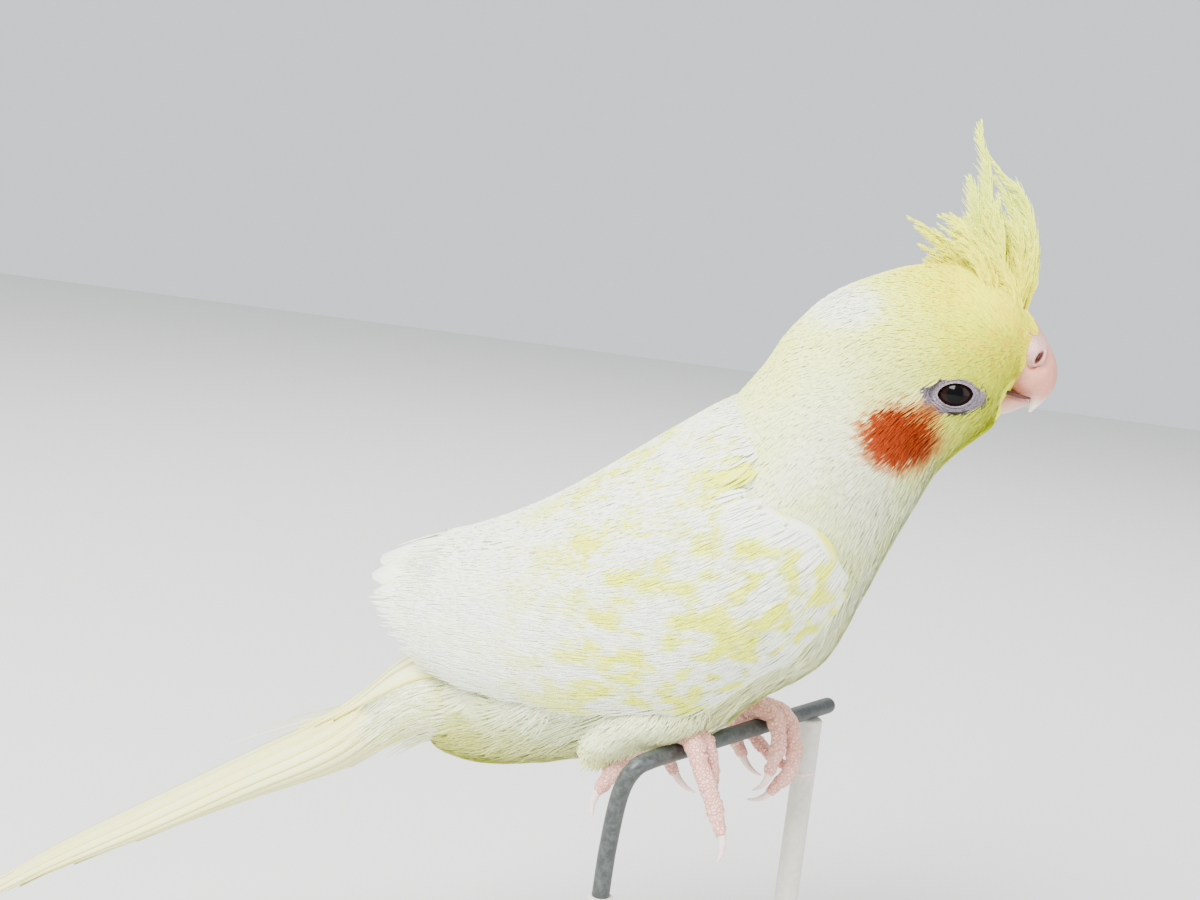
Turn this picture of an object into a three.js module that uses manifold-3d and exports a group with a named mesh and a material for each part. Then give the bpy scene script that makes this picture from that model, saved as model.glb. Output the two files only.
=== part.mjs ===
// A life size still model of a cockatiel gripping a cut length of bent wire,
// held above a flat base by two rods. Millimetres, Z up, the bird faces +X.
import * as THREE from 'three';
import * as BufferGeometryUtils from 'three/addons/utils/BufferGeometryUtils.js';
import Module from 'manifold-3d';

const wasm = await Module();
wasm.setup();

// Driving sizes
const PERCH_HEIGHT = 86;      // top of the wire above the floor
const BODY_SHIFT = 15;        // bird frame to the centre of the base, along X
const GAP = 0.3;              // between two neighbouring sub-parts
const WIRE_R = 1.7;
const ROD_R = 2.5;
const BASE_LENGTH = 110;
const BASE_WIDTH = 90;
const BASE_THICK = 6;
const REST_GAP = 0.02;        // between the rods and what they stand on
const ROD_FAR_T = 46;         // the far rod's place along the wire
const EYE_R = 4.0;
const EYE_CENTRE = [41.2, 11.3, 72.9];
const EYE_OPEN_A = 3.3;       // half length of the opening between the lids
const EYE_OPEN_B = 2.2;
const EYE_OPEN_DEPTH = 8;     // how deep the opening is cut
const EYE_TILT = 8;           // degrees by which the opening rises forward
const LID_DEPTH = 1.1;        // the lids stand this far over the ball
const FINENESS = 0.05;        // detail smaller than this is smoothed away
const WING_SHELL = 3.0;       // depth of a folded wing over the flank
const WING_REACH = 60;        // a cut this wide takes in the whole flank
const FOOT_Y = 12;            // the feet stand this far off the middle plane

// Finishes
const COLOURS = {
  plume: 0xf0f2e2,
  crown: 0xeef0a8,
  crest: 0xeeea72,
  wing: 0xf1f3e6,
  tail: 0xeef2b4,
  thigh: 0xd9da8c,
  cere: 0xe2c8c2,
  beak: 0xdba894,
  eye: 0x1c1210,
  foot: 0xe0a295,
  claw: 0xead0c8,
  wire: 0x5c605e,
  base: 0xd6d2c8,
};
const group = new THREE.Group();
group.name = 'cockatiel_model';

function finish(colour, roughness, metalness) {
  return new THREE.MeshStandardMaterial({ color: colour, roughness, metalness });
}

// Small vector helpers on plain arrays
const add = (a, b) => [a[0] + b[0], a[1] + b[1], a[2] + b[2]];
const sub = (a, b) => [a[0] - b[0], a[1] - b[1], a[2] - b[2]];
const mul = (a, k) => [a[0] * k, a[1] * k, a[2] * k];
const dot = (a, b) => a[0] * b[0] + a[1] * b[1] + a[2] * b[2];
const cross = (a, b) => [
  a[1] * b[2] - a[2] * b[1],
  a[2] * b[0] - a[0] * b[2],
  a[0] * b[1] - a[1] * b[0],
];
const norm = (a) => mul(a, 1 / Math.max(Math.hypot(...a), 1e-9));
const mix = (a, b, t) => a + (b - a) * t;

// A smooth row of numbers through rows of numbers, t from 0 to the last index
function spline(rows, t) {
  const n = rows.length - 1;
  const i = Math.max(0, Math.min(n - 1, Math.floor(t)));
  const f = t - i;
  const p1 = rows[i];
  const p2 = rows[i + 1];
  const p0 = i > 0 ? rows[i - 1] : p1.map((v, k) => 2 * v - p2[k]);
  const p3 = i + 2 <= n ? rows[i + 2] : p2.map((v, k) => 2 * v - p1[k]);
  return p1.map((v, k) => {
    const a = 2 * v;
    const b = p2[k] - p0[k];
    const c = 2 * p0[k] - 5 * v + 4 * p2[k] - p3[k];
    const d = -p0[k] + 3 * v - 3 * p2[k] + p3[k];
    return 0.5 * (a + b * f + c * f * f + d * f * f * f);
  });
}

// A closed solid from a grid of rings, each ring closed by a fan at the ends
function ringsToSolid(rings, first, last) {
  const m = rings[0].length;
  const verts = [first, ...rings.flat(), last];
  const tris = [];
  const at = (i, j) => 1 + i * m + ((j + m) % m);
  const end = verts.length - 1;
  for (let j = 0; j < m; j += 1) {
    tris.push(0, at(0, j + 1), at(0, j));
    tris.push(end, at(rings.length - 1, j), at(rings.length - 1, j + 1));
  }
  for (let i = 0; i + 1 < rings.length; i += 1) {
    for (let j = 0; j < m; j += 1) {
      tris.push(at(i, j), at(i, j + 1), at(i + 1, j + 1));
      tris.push(at(i, j), at(i + 1, j + 1), at(i + 1, j));
    }
  }
  return solidOf(verts, tris);
}

function solidOf(verts, tris) {
  const made = (order) => new wasm.Manifold(new wasm.Mesh({
    numProp: 3,
    vertProperties: new Float32Array(verts.flat()),
    triVerts: new Uint32Array(order),
  }));
  const body = made(tris);
  if (body.volume() > 0) return body;
  const flipped = [];
  for (let k = 0; k < tris.length; k += 3) {
    flipped.push(tris[k], tris[k + 2], tris[k + 1]);
  }
  return made(flipped);
}

// A solid from a geometry whose vertices closer than the given distance are joined
function solidFrom(geometry, distance = 1e-5) {
  geometry.deleteAttribute('normal');
  geometry.deleteAttribute('uv');
  const merged = BufferGeometryUtils.mergeVertices(geometry, distance);
  return new wasm.Manifold(new wasm.Mesh({
    numProp: 3,
    vertProperties: merged.attributes.position.array,
    triVerts: new Uint32Array(merged.index.array),
  }));
}

function geometryOf(body) {
  const mesh = body.getMesh();
  const geometry = new THREE.BufferGeometry();
  geometry.setAttribute('position', new THREE.BufferAttribute(mesh.vertProperties, 3));
  geometry.setIndex(new THREE.BufferAttribute(mesh.triVerts, 1));
  return geometry;
}

// A form told by rows [topX, topZ, bottomX, bottomZ, halfWidth, middleY]:
// each section is an ellipse standing across the middle plane
function sectionAt(rows, t, angle, grow = 0) {
  const [tx, tz, bx, bz, w, y] = spline(rows, t);
  const mx = (tx + bx) / 2;
  const mz = (tz + bz) / 2;
  const hx = (tx - bx) / 2;
  const hz = (tz - bz) / 2;
  const h = Math.max(Math.hypot(hx, hz), 1e-6);
  const k = Math.sin(angle) * (1 + grow / h);
  return [mx + hx * k, (y || 0) + Math.cos(angle) * (Math.abs(w) + grow), mz + hz * k];
}

function loft(rows, options = {}) {
  const { around = 24, along = rows.length * 2, grow = 0, ends = [0, 0] } = options;
  const rings = [];
  const n = rows.length - 1;
  for (let i = 0; i <= along; i += 1) {
    const t = (n * i) / along;
    const ring = [];
    for (let j = 0; j < around; j += 1) {
      ring.push(sectionAt(rows, t, (2 * Math.PI * j) / around, grow));
    }
    rings.push(ring);
  }
  const centre = (ring) => mul(ring.reduce(add, [0, 0, 0]), 1 / ring.length);
  const c0 = centre(rings[0]);
  const c1 = centre(rings[along]);
  const out0 = norm(sub(c0, centre(rings[1])));
  const out1 = norm(sub(c1, centre(rings[along - 1])));
  const first = add(c0, mul(out0, ends[0] + grow));
  const last = add(c1, mul(out1, ends[1] + grow));
  return ringsToSolid(rings, first, last);
}

// A round rod along a smooth line of points [x, y, z, radius]
function limb(points, options = {}) {
  const { around = 10, along = points.length * 2, grow = 0, tip = 0.3 } = options;
  const n = points.length - 1;
  const rings = [];
  const line = [];
  for (let i = 0; i <= along; i += 1) {
    line.push(spline(points, (n * i) / along));
  }
  let side = null;
  for (let i = 0; i <= along; i += 1) {
    const a = line[Math.max(0, i - 1)];
    const b = line[Math.min(along, i + 1)];
    const dir = norm(sub(b, a));
    if (!side) {
      side = Math.abs(dir[2]) < 0.9 ? norm(cross(dir, [0, 0, 1])) : norm(cross(dir, [0, 1, 0]));
    }
    side = norm(sub(side, mul(dir, dot(side, dir))));
    const up = cross(side, dir);
    const r = Math.max(line[i][3], 0.05) + grow;
    const ring = [];
    for (let j = 0; j < around; j += 1) {
      const q = (2 * Math.PI * j) / around;
      ring.push(add(line[i], add(mul(side, r * Math.cos(q)), mul(up, r * Math.sin(q)))));
    }
    rings.push(ring);
  }
  const d0 = norm(sub(line[0], line[1]));
  const d1 = norm(sub(line[along], line[along - 1]));
  const first = add(line[0].slice(0, 3), mul(d0, tip * line[0][3] + grow));
  const last = add(line[along].slice(0, 3), mul(d1, tip * line[along][3] + grow));
  return ringsToSolid(rings, first, last);
}

function ball(centre, radius, rounds = 16) {
  return solidFrom(new THREE.SphereGeometry(radius, rounds, rounds / 2)).translate(centre);
}

// An upright round bar from its foot up
function bar(x, y, foot, top, radius, rounds) {
  return solidFrom(new THREE.CylinderGeometry(radius, radius, top - foot, rounds))
    .rotate([90, 0, 0])
    .translate([x, y, (foot + top) / 2]);
}

function largest(body) {
  const bodies = body.decompose();
  bodies.sort((a, b) => b.volume() - a.volume());
  return bodies[0];
}

// Joins vertices closer than a micrometre and keeps the one real body that is left
const settled = (body) => largest(solidFrom(geometryOf(body), 1e-3));

function union(bodies) {
  return bodies.reduce((a, b) => a.add(b));
}

// Sub-parts are kept in one table in the bird frame and placed at the end
const parts = [];
function keep(name, body, colour, roughness, metalness = 0) {
  const whole = largest(body.simplify(FINENESS));
  parts.push({ name, body: whole, material: finish(colour, roughness, metalness) });
  return whole;
}

const mirrorY = (body) => body.mirror([0, 1, 0]);

// Torso, neck and head: one row of sections from the rump up to the face
const BODY = [
  [-52, 2, -53, -7, 3.0],
  [-50, 9, -50, -12.2, 8.0],
  [-44, 18, -41, -13.6, 12.0],
  [-34, 28, -30, -11.6, 16.5],
  [-23, 38.5, -20, -8.6, 19.5],
  [-12, 48, -9, -5.4, 21.5],
  [-3, 58, 3, -0.6, 22.8],
  [1.2, 65.4, 14, 8.4, 23.0],
  [4, 69.5, 24.6, 17.4, 21.8],
  [6.5, 73.4, 30.2, 31, 19.6],
  [8.8, 78, 33.8, 41, 17.4],
  [11.4, 81.6, 37.2, 49.5, 15.6],
  [14.6, 85.4, 40, 56.2, 15.0],
  [18.6, 88.6, 43.4, 60.8, 15.2],
  [23.5, 91.2, 46.5, 64, 15.4],
  [29, 93.6, 49, 66.6, 15.1],
  [35, 95.0, 50.6, 69.4, 14.2],
  [40.6, 95.2, 51.6, 72, 12.8],
  [45.6, 93.8, 52.6, 74.8, 10.8],
  [49.6, 91.2, 53.2, 77.2, 8.0],
  [52.0, 87.6, 53.6, 80.2, 4.6],
];
const NECK_LOW = 8.4;         // section where the neck parts from the torso
const NECK_HIGH = 12.0;       // section where the head parts from the neck
const bodyForm = (grow = 0) => loft(BODY, { around: 24, along: 32, grow, ends: [1.4, 0.9] });

// The plane of one section: its normal lies in the middle plane
function sectionPlane(rows, t) {
  const [tx, tz, bx, bz] = spline(rows, t);
  const ahead = spline(rows, t + 0.05);
  const n = norm([-(tz - bz), 0, tx - bx]);
  const move = [ahead[0] + ahead[2] - tx - bx, 0, ahead[1] + ahead[3] - tz - bz];
  const normal = dot(n, move) > 0 ? n : mul(n, -1);
  return { normal, offset: dot(normal, [(tx + bx) / 2, 0, (tz + bz) / 2]) };
}

// The folded wings' common outer form, running on behind the rump
const MANTLE = [
  [-70, 22, -69, 14, 6.0],
  [-65, 25.5, -63, 8, 11.0],
  [-56, 29.5, -53, 1.5, 15.5],
  [-46, 33.4, -43, -2.5, 19.2],
  [-35, 39.2, -32, -4, 22.2],
  [-24, 46.8, -21, -4.5, 24.6],
  [-13, 55.4, -10, -3.5, 26.4],
  [-4, 62.2, 2, -0.5, 27.2],
  [2, 66.8, 14, 8.4, 26.9],
  [5, 70.5, 25, 17.4, 25.2],
  [8, 74.4, 32, 31, 21.6],
  [11, 77, 37, 41, 17.0],
];

// Outline of the folded wing as seen from the side, from the shoulder round
const WING_OUTLINE = [
  [-3, 61.5], [5.4, 54.5], [13, 50.5], [19.7, 46.2], [25.2, 41.2], [27, 36], [25, 29.6],
  [20, 22.6], [13, 15.2], [4.5, 9], [-6, 5.6], [-18, 4], [-30, 3], [-42, 3.6], [-50.5, 5.4],
  [-57.5, 9.6], [-64, 13.8], [-65.6, 18], [-65, 24.6], [-54.4, 29.8], [-45.8, 34],
  [-35.4, 39.6], [-26, 46], [-17, 53.2],
];
function sidePrism(points, yFrom, yTo) {
  const area = points.reduce((sum, [x, z], i) => {
    const [x2, z2] = points[(i + 1) % points.length];
    return sum + x * z2 - x2 * z;
  }, 0);
  const outline = area > 0 ? points : [...points].reverse();
  const n = outline.length;
  const verts = [
    ...outline.map(([x, z]) => [x, yFrom, z]),
    ...outline.map(([x, z]) => [x, yTo, z]),
  ];
  const contour = outline.map(([x, z]) => new THREE.Vector2(x, z));
  const caps = THREE.ShapeUtils.triangulateShape(contour, []);
  const tris = [];
  for (const [a, b, c] of caps) {
    tris.push(a, b, c);
    tris.push(n + a, n + c, n + b);
  }
  for (let i = 0; i < n; i += 1) {
    const j = (i + 1) % n;
    tris.push(i, n + i, n + j);
    tris.push(i, n + j, j);
  }
  return solidOf(verts, tris);
}
const shape = bodyForm();
const shapeGrown = bodyForm(GAP);
const mantleInner = loft(MANTLE, { around: 16, along: 12, grow: -WING_SHELL, ends: [-1, 0] });

// A thin closed vane from rows of [outer, inner] points; both faces are split alike
function plate(rows) {
  const across = rows[0].length;
  const count = rows.length * across;
  const verts = [
    ...rows.flatMap((row) => row.map((pair) => pair[0])),
    ...rows.flatMap((row) => row.map((pair) => pair[1])),
  ];
  const at = (i, j) => i * across + j;
  const tris = [];
  const quad = (a, b, c, d) => tris.push(a, b, c, a, c, d);
  for (let i = 0; i + 1 < rows.length; i += 1) {
    for (let j = 0; j + 1 < across; j += 1) {
      const [a, b, c, d] = [at(i, j), at(i, j + 1), at(i + 1, j + 1), at(i + 1, j)];
      tris.push(a, b, c, a, c, d);
      tris.push(a + count, c + count, b + count, a + count, d + count, c + count);
    }
  }
  const rim = [];
  for (let j = 0; j < across; j += 1) rim.push(at(0, j));
  for (let i = 1; i < rows.length; i += 1) rim.push(at(i, across - 1));
  for (let j = across - 2; j >= 0; j -= 1) rim.push(at(rows.length - 1, j));
  for (let i = rows.length - 2; i > 0; i -= 1) rim.push(at(i, 0));
  rim.forEach((a, k) => {
    const b = rim[(k + 1) % rim.length];
    quad(b, a, a + count, b + count);
  });
  return solidOf(verts, tris);
}

// The place on the mantle's flank that is seen at (x, z) from the side
function onMantle(x, z, lift) {
  const off = (t) => {
    const [tx, tz, bx, bz] = spline(MANTLE, t);
    return (tx - bx) * (z - bz) - (tz - bz) * (x - bx);
  };
  let lo = 0;
  let hi = MANTLE.length - 1;
  const start = Math.sign(off(lo));
  for (let k = 0; k < 24; k += 1) {
    const mid = (lo + hi) / 2;
    if (Math.sign(off(mid)) === start) lo = mid;
    else hi = mid;
  }
  const t = (lo + hi) / 2;
  const [tx, tz, bx, bz] = spline(MANTLE, t);
  const half = [(tx - bx) / 2, (tz - bz) / 2];
  const from = [x - (tx + bx) / 2, z - (tz + bz) / 2];
  const q = (from[0] * half[0] + from[1] * half[1]) / (half[0] ** 2 + half[1] ** 2);
  return sectionAt(MANTLE, t, Math.asin(Math.max(-0.985, Math.min(0.985, q))), lift);
}

// One wing feather: a line of [x, z] from root to tip, laid on the mantle
const VANE_CUTS = [0, 0.4, 0.75, 0.93, 1];
const ROUND_TIP = [0.6, 0.95, 1, 0.72, 0.28];
const CUT_TIP = [0.6, 0.95, 1, 0.98, 0.86];
function wingVane(line, half, lifts, options = {}) {
  const { tip = ROUND_TIP, strips = 1, tilt = 0.3, depth = 0.95, cup = 0 } = options;
  const n = line.length - 1;
  const rows = VANE_CUTS.map((u, i) => {
    const p = spline(line, u * n);
    const a = spline(line, Math.max(0, u - 0.06) * n);
    const b = spline(line, Math.min(1, u + 0.06) * n);
    const length = Math.hypot(b[0] - a[0], b[1] - a[1]);
    const side = [-(b[1] - a[1]) / length, (b[0] - a[0]) / length];
    const row = [];
    for (let j = 0; j <= strips; j += 1) {
      const v = (2 * j) / strips - 1;
      const reach = v * half * tip[i];
      const lift = mix(lifts[0], lifts[1], u) - tilt * v - cup * v * v;
      const x = p[0] + side[0] * reach;
      const z = p[1] + side[1] * reach;
      row.push([onMantle(x, z, lift), onMantle(x, z, lift - depth)]);
    }
    return row;
  });
  return plate(rows);
}
const lerp2 = (a, b, f) => [mix(a[0], b[0], f), mix(a[1], b[1], f)];
const bowed = (a, b, sag) => [a, [(a[0] + b[0]) / 2, (a[1] + b[1]) / 2 - sag], b];

// Tiers of the folded wing, from the cut flight feathers up to the shoulder
function wingFeathers() {
  const vanes = [];
  for (let k = 0; k < 4; k += 1) {
    const f = k / 3;
    const line = bowed(lerp2([15, 21], [10, 13.4], f), lerp2([-46.5, 6.6], [-32, 4.9], f), 0.8);
    vanes.push(wingVane(line, 3.2, [-1.9, -0.7 - 0.12 * k], { tip: CUT_TIP }));
  }
  const tips = [[-46, 6.4], [-52.4, 7.4], [-58.4, 10.8], [-63, 14.4], [-65.2, 18.6], [-64.6, 23.4],
    [-57.6, 27.6], [-48.6, 31.8]];
  tips.forEach((end, k) => {
    const root = lerp2([14, 25], [-10, 49], k / (tips.length - 1));
    const half = k > 2 ? 5.2 : 4.4;
    vanes.push(wingVane(bowed(root, end, 1.2 - 0.3 * k), half, [-1.6, 0.0], { strips: 2, cup: 0.25 }));
  });
  for (let k = 0; k < 6; k += 1) {
    const f = k / 5;
    const root = lerp2([18, 27], [-4, 51], f);
    const way = norm([...lerp2([-0.98, -0.2], [-0.84, -0.54], f), 0]);
    const end = [root[0] + way[0] * 25, root[1] + way[1] * 25];
    vanes.push(wingVane(bowed(root, end, 0.6), 4.3, [-1.4, 0.5]));
  }
  const coverRows = [
    { from: [21, 29], to: [3, 53], count: 5, length: 15, half: 4.3, top: 0.75 },
    { from: [24, 33.5], to: [12, 51], count: 4, length: 11, half: 4.2, top: 1.0 },
  ];
  for (const row of coverRows) {
    for (let k = 0; k < row.count; k += 1) {
      const f = (k + 0.15) / (row.count - 0.7);
      const root = lerp2(row.from, row.to, f);
      const way = norm([...lerp2([-0.95, -0.32], [-0.84, -0.54], f), 0]);
      const end = [root[0] + way[0] * row.length, root[1] + way[1] * row.length];
      vanes.push(wingVane(bowed(root, end, 0.3), row.half, [-1.2, row.top]));
    }
  }
  for (let k = 0; k < 4; k += 1) {
    const f = k / 3;
    const root = lerp2([5, 53.4], [-15, 51], f);
    const way = norm([-0.82, -0.56, 0]);
    const reach = mix(17, 21, f);
    const end = [root[0] + way[0] * reach, root[1] + way[1] * reach];
    vanes.push(wingVane(bowed(root, end, 0.4), 4.2, [-1.2, 0.9]));
  }
  return vanes;
}
const WING_CORE = [
  [-3, 60.5], [5.4, 53.6], [13, 49.6], [19.7, 45.2], [24.2, 40.4], [25.8, 36], [24, 30.2],
  [19, 23.6], [12, 16.4], [4, 10.4], [-6, 7], [-18, 5.6], [-30, 4.8], [-40, 6.4], [-48, 10],
  [-53, 15], [-54, 21], [-50, 28], [-44, 32], [-35.4, 38], [-26, 44.6], [-17, 51.8],
];
const wingCore = loft(MANTLE, { around: 18, along: 14, grow: -0.7, ends: [1, 1] })
  .intersect(sidePrism(WING_CORE, GAP / 2, WING_REACH));
const wingLeft = largest(union([wingCore, ...wingFeathers()])
  .subtract(mantleInner.intersect(sidePrism(WING_CORE, -1, WING_REACH)))
  .subtract(shapeGrown)
  .trimByPlane([0, 1, 0], GAP / 2));

// Tail: a roof of folded feathers running from under the rump to its point
const TAIL = [
  [-41, 9, -40, -6, 6.0],
  [-48, 9.5, -46, -10.6, 9.4],
  [-57.8, 4.2, -53.5, -12.6, 11.0],
  [-71.4, -9.6, -66, -22.4, 11.4],
  [-91, -23, -86.5, -33, 10.8],
  [-112, -37.2, -108.4, -45.4, 9.2],
  [-131, -50, -128.3, -56.4, 7.2],
  [-146, -61.3, -143.9, -65.3, 4.8],
  [-158, -70, -156.6, -72.6, 2.8],
  [-166.4, -76.2, -165.8, -77.2, 1.0],
];

// A tail feather lies on the roof: arc is its distance from the ridge, t its row
function onTail(t, arc, lift) {
  const [tx, tz, bx, bz, w] = spline(TAIL, t);
  const round = (w + Math.hypot(tx - bx, tz - bz) / 2) / 2;
  return sectionAt(TAIL, t, Math.PI / 2 - arc / Math.max(round, 0.8), lift);
}
const TAIL_CUTS = [0, 0.35, 0.7, 0.9, 1];
const TAIL_SHAPE = [0.7, 1, 0.9, 0.52, 0.1];
function tailVane(side, from, to, arcs, half, lift) {
  const rows = TAIL_CUTS.map((u, i) => {
    const t = mix(from, to, u);
    const arc = mix(arcs[0], arcs[1], u);
    return [-1, 0, 1].map((v) => {
      const across = side * (arc + v * half * TAIL_SHAPE[i]);
      const rise = lift - 0.12 * v * v;
      return [onTail(t, across, rise), onTail(t, across, rise - 0.8)];
    });
  });
  return plate(rows);
}
function tailFeathers() {
  const ends = [8.85, 8.1, 7.2, 6.3, 5.4, 4.6];
  const vanes = [];
  ends.forEach((end, k) => {
    for (const side of [1, -1]) {
      const arcs = [1.8 + 2.15 * k, 1.1 + 1.45 * k];
      const lift = -0.42 * k + (side > 0 && k === 0 ? 0.3 : 0);
      vanes.push(tailVane(side, 0.6 + 0.12 * k, end, arcs, 3.9 - 0.12 * k, lift));
    }
  });
  for (const [side, from, to, arc] of [[1, 0.8, 3.0, 4.6], [-1, 0.8, 3.0, 4.6], [1, 0.6, 3.35, 1]]) {
    vanes.push(tailVane(side, from, to, [arc, arc * 0.6], 3.8, 0.75));
  }
  return vanes;
}
const tailCore = loft(TAIL.slice(0, 8), { around: 12, along: 10, grow: -1.1, ends: [1.5, 1.5] })
  .subtract(loft(TAIL.slice(3, 8), { around: 12, along: 6, grow: -2.6, ends: [1, 3] })
    .translate([-2.6, 0, -4.4]));
const tail = union([tailCore, ...tailFeathers()]).subtract(shapeGrown);

// Beak: the hooked upper half, the cupped lower half and the cere above them
const BEAK_UPPER = [
  [50.6, 89.6, 46.6, 78.6, 5.0],
  [53.6, 87.4, 48.4, 76.4, 5.6],
  [56.4, 83.9, 50.4, 74.6, 5.7],
  [58.5, 80.7, 52.0, 73.5, 5.1],
  [59.3, 78.1, 53.2, 73.1, 4.2],
  [59.3, 75.8, 54.2, 72.9, 3.3],
  [58.6, 73.8, 55.0, 72.3, 2.3],
  [57.2, 71.8, 55.2, 71.4, 1.3],
  [55.9, 70.3, 55.2, 70.5, 0.5],
];
const BEAK_LOWER = [
  [46.6, 74.2, 47.6, 68.8, 3.6],
  [49.4, 74.2, 50.0, 69.0, 4.6],
  [51.6, 74.0, 52.0, 69.6, 4.3],
  [53.4, 73.2, 53.6, 70.6, 3.2],
  [54.6, 72.2, 54.7, 71.4, 1.6],
];
const NARIS = [54.9, 3.7, 80.9]; // middle of the left nostril
const NARIS_R = 0.8;
const CERE = [
  [49.6, 90.2, 49.2, 82.4, 5.4],
  [52.2, 88.6, 51.0, 80.2, 6.6],
  [54.4, 86.2, 53.0, 79.6, 6.2],
  [56.2, 84.0, 55.2, 80.4, 4.6],
];
const beakForm = (grow = 0) => loft(BEAK_UPPER, { around: 14, along: 14, grow, ends: [0.4, 0.3] });
const lowerForm = (grow = 0) => loft(BEAK_LOWER, { around: 14, along: 8, grow, ends: [0.4, 0.3] });
const cereForm = (grow = 0) => loft(CERE, { around: 14, along: 5, grow, ends: [0.4, 0.4] });
const beakUpper = beakForm();
const beakLower = lowerForm().subtract(beakForm(GAP));
const naris = union([1, -1].map((side) => ball([NARIS[0], side * NARIS[1], NARIS[2]], NARIS_R, 12)));
const cere = cereForm().subtract(beakForm(GAP)).subtract(naris);

// Eyes and lids: a lid shell round each ball with an almond opening
const eyeSides = [1, -1].map((side) => {
  const centre = [EYE_CENTRE[0], side * EYE_CENTRE[1], EYE_CENTRE[2]];
  const opening = bar(0, 0, -EYE_OPEN_DEPTH / 2, EYE_OPEN_DEPTH / 2, 1, 16)
    .scale([EYE_OPEN_A, EYE_OPEN_B, 1])
    .rotate([90, 0, 0])
    .rotate([0, -EYE_TILT, 0])
    .translate([centre[0], centre[1] + side * (2 + EYE_OPEN_DEPTH / 2), centre[2]]);
  return {
    ball: ball(centre, EYE_R),
    hollow: ball(centre, EYE_R + GAP),
    lid: ball(centre, EYE_R + LID_DEPTH, 14),
    opening,
  };
});

// Crest: a low mound on the forehead and one thin vane for each long feather
const CREST_MOUND = [
  [31, 91, 52.5, 86.5, 3.0],
  [33, 95, 52.8, 92, 4.4],
  [36, 97.2, 51.2, 95.4, 3.6],
  [39.5, 98.8, 48, 98, 1.8],
];
const CREST_LINES = [
  { line: [[50.5, 88], [53.1, 94], [52.0, 101.5], [47.6, 109], [41.8, 115.6]], y: 0.9, half: 1.9 },
  { line: [[48.5, 90], [51.5, 97.5], [50, 104.5], [46.8, 109.8], [44.4, 112.4]], y: 2.3, half: 1.7 },
  { line: [[46.8, 91], [49.5, 97], [48.6, 103], [45.5, 108.4]], y: 0.6, half: 1.5 },
  { line: [[44, 92], [43.4, 101], [41.4, 110.5], [39.2, 120.8]], y: 0, half: 1.5 },
  { line: [[42.5, 92.5], [41.6, 100], [40.2, 107], [38.2, 112.4]], y: 1.1, half: 1.4 },
  { line: [[40.5, 93], [39.8, 99], [38.6, 103.6], [37, 107.4]], y: 2.1, half: 1.3 },
  { line: [[38, 93.4], [37.4, 97.5], [36.4, 101.4]], y: 1.3, half: 1.3 },
  { line: [[36.4, 93.4], [33.8, 97.4], [31.2, 100.6], [28.3, 102.9]], y: 0.5, half: 1.1 },
  { line: [[35, 92.4], [32.6, 96], [29.6, 98.8]], y: -1.0, half: 1.1 },
];
function crestVane(line, y, half) {
  const n = line.length - 1;
  const cuts = [0, 0.3, 0.6, 0.85, 1];
  const taper = [1, 1, 0.85, 0.5, 0.12];
  const rows = cuts.map((u, i) => {
    const p = spline(line, u * n);
    const a = spline(line, Math.max(0, u - 0.08) * n);
    const b = spline(line, Math.min(1, u + 0.08) * n);
    const length = Math.hypot(b[0] - a[0], b[1] - a[1]);
    const front = [(b[1] - a[1]) / length, -(b[0] - a[0]) / length];
    const deep = mix(0.55, 0.22, u);
    return [-1, 1].map((v) => {
      const side = y * (1 + 0.25 * u) + v * half * taper[i];
      return [
        [p[0] + front[0] * deep, side, p[1] + front[1] * deep],
        [p[0] - front[0] * deep, side, p[1] - front[1] * deep],
      ];
    });
  });
  return plate(rows);
}
const crestVanes = CREST_LINES.flatMap(({ line, y, half }) => {
  const paired = y >= 0.9 && half > 1.2;
  return (paired ? [y, -y] : [y]).map((at) => crestVane(line, at, half));
});
const crest = union([loft(CREST_MOUND, { around: 12, along: 6, ends: [0.2, 1.2] }), ...crestVanes]);

// Thigh plumes
const THIGH = [
  [-12, 14, 8, 10, 4.0, 11.5],
  [-14.6, 6, 3.0, 3.4, 6.4, 12.2],
  [-18.0, -2, -5.6, -2.6, 5.6, 11.4],
  [-20.2, -8.4, -10.8, -9.0, 3.8, 10.2],
  [-19.6, -13.4, -14.8, -14, 2.0, 9.4],
];
const thighForm = (grow = 0) => loft(THIGH, { around: 14, along: 8, grow, ends: [0.8, 1.2] });

// Perch wire: cut at both ends, bent down beside the near foot
const WIRE_DIR = norm([0.5, 0.866, 0]);
const WIRE_Z = -WIRE_R - 0.1;
const onWire = (t, lift = 0) => [WIRE_DIR[0] * t, -FOOT_Y + WIRE_DIR[1] * t, WIRE_Z + lift];
const FOOT_LEFT_T = (2 * FOOT_Y) / WIRE_DIR[1];
const bend = onWire(-10.5);
const wirePoints = [
  [bend[0] - 5.4, bend[1] + 1.6, -30],
  [bend[0] - 5.0, bend[1] + 1.2, -20],
  [bend[0] - 3.8, bend[1] + 0.2, -9],
  [bend[0] - 1.6, bend[1] - 0.6, -3.4],
  onWire(-7.5),
  onWire(2),
  onWire(14),
  onWire(28),
  onWire(40),
  onWire(52),
].map((p) => [...p, WIRE_R]);
const wireForm = (grow = 0) => limb(wirePoints, { around: 12, along: 22, grow, tip: 0.01 });

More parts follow.
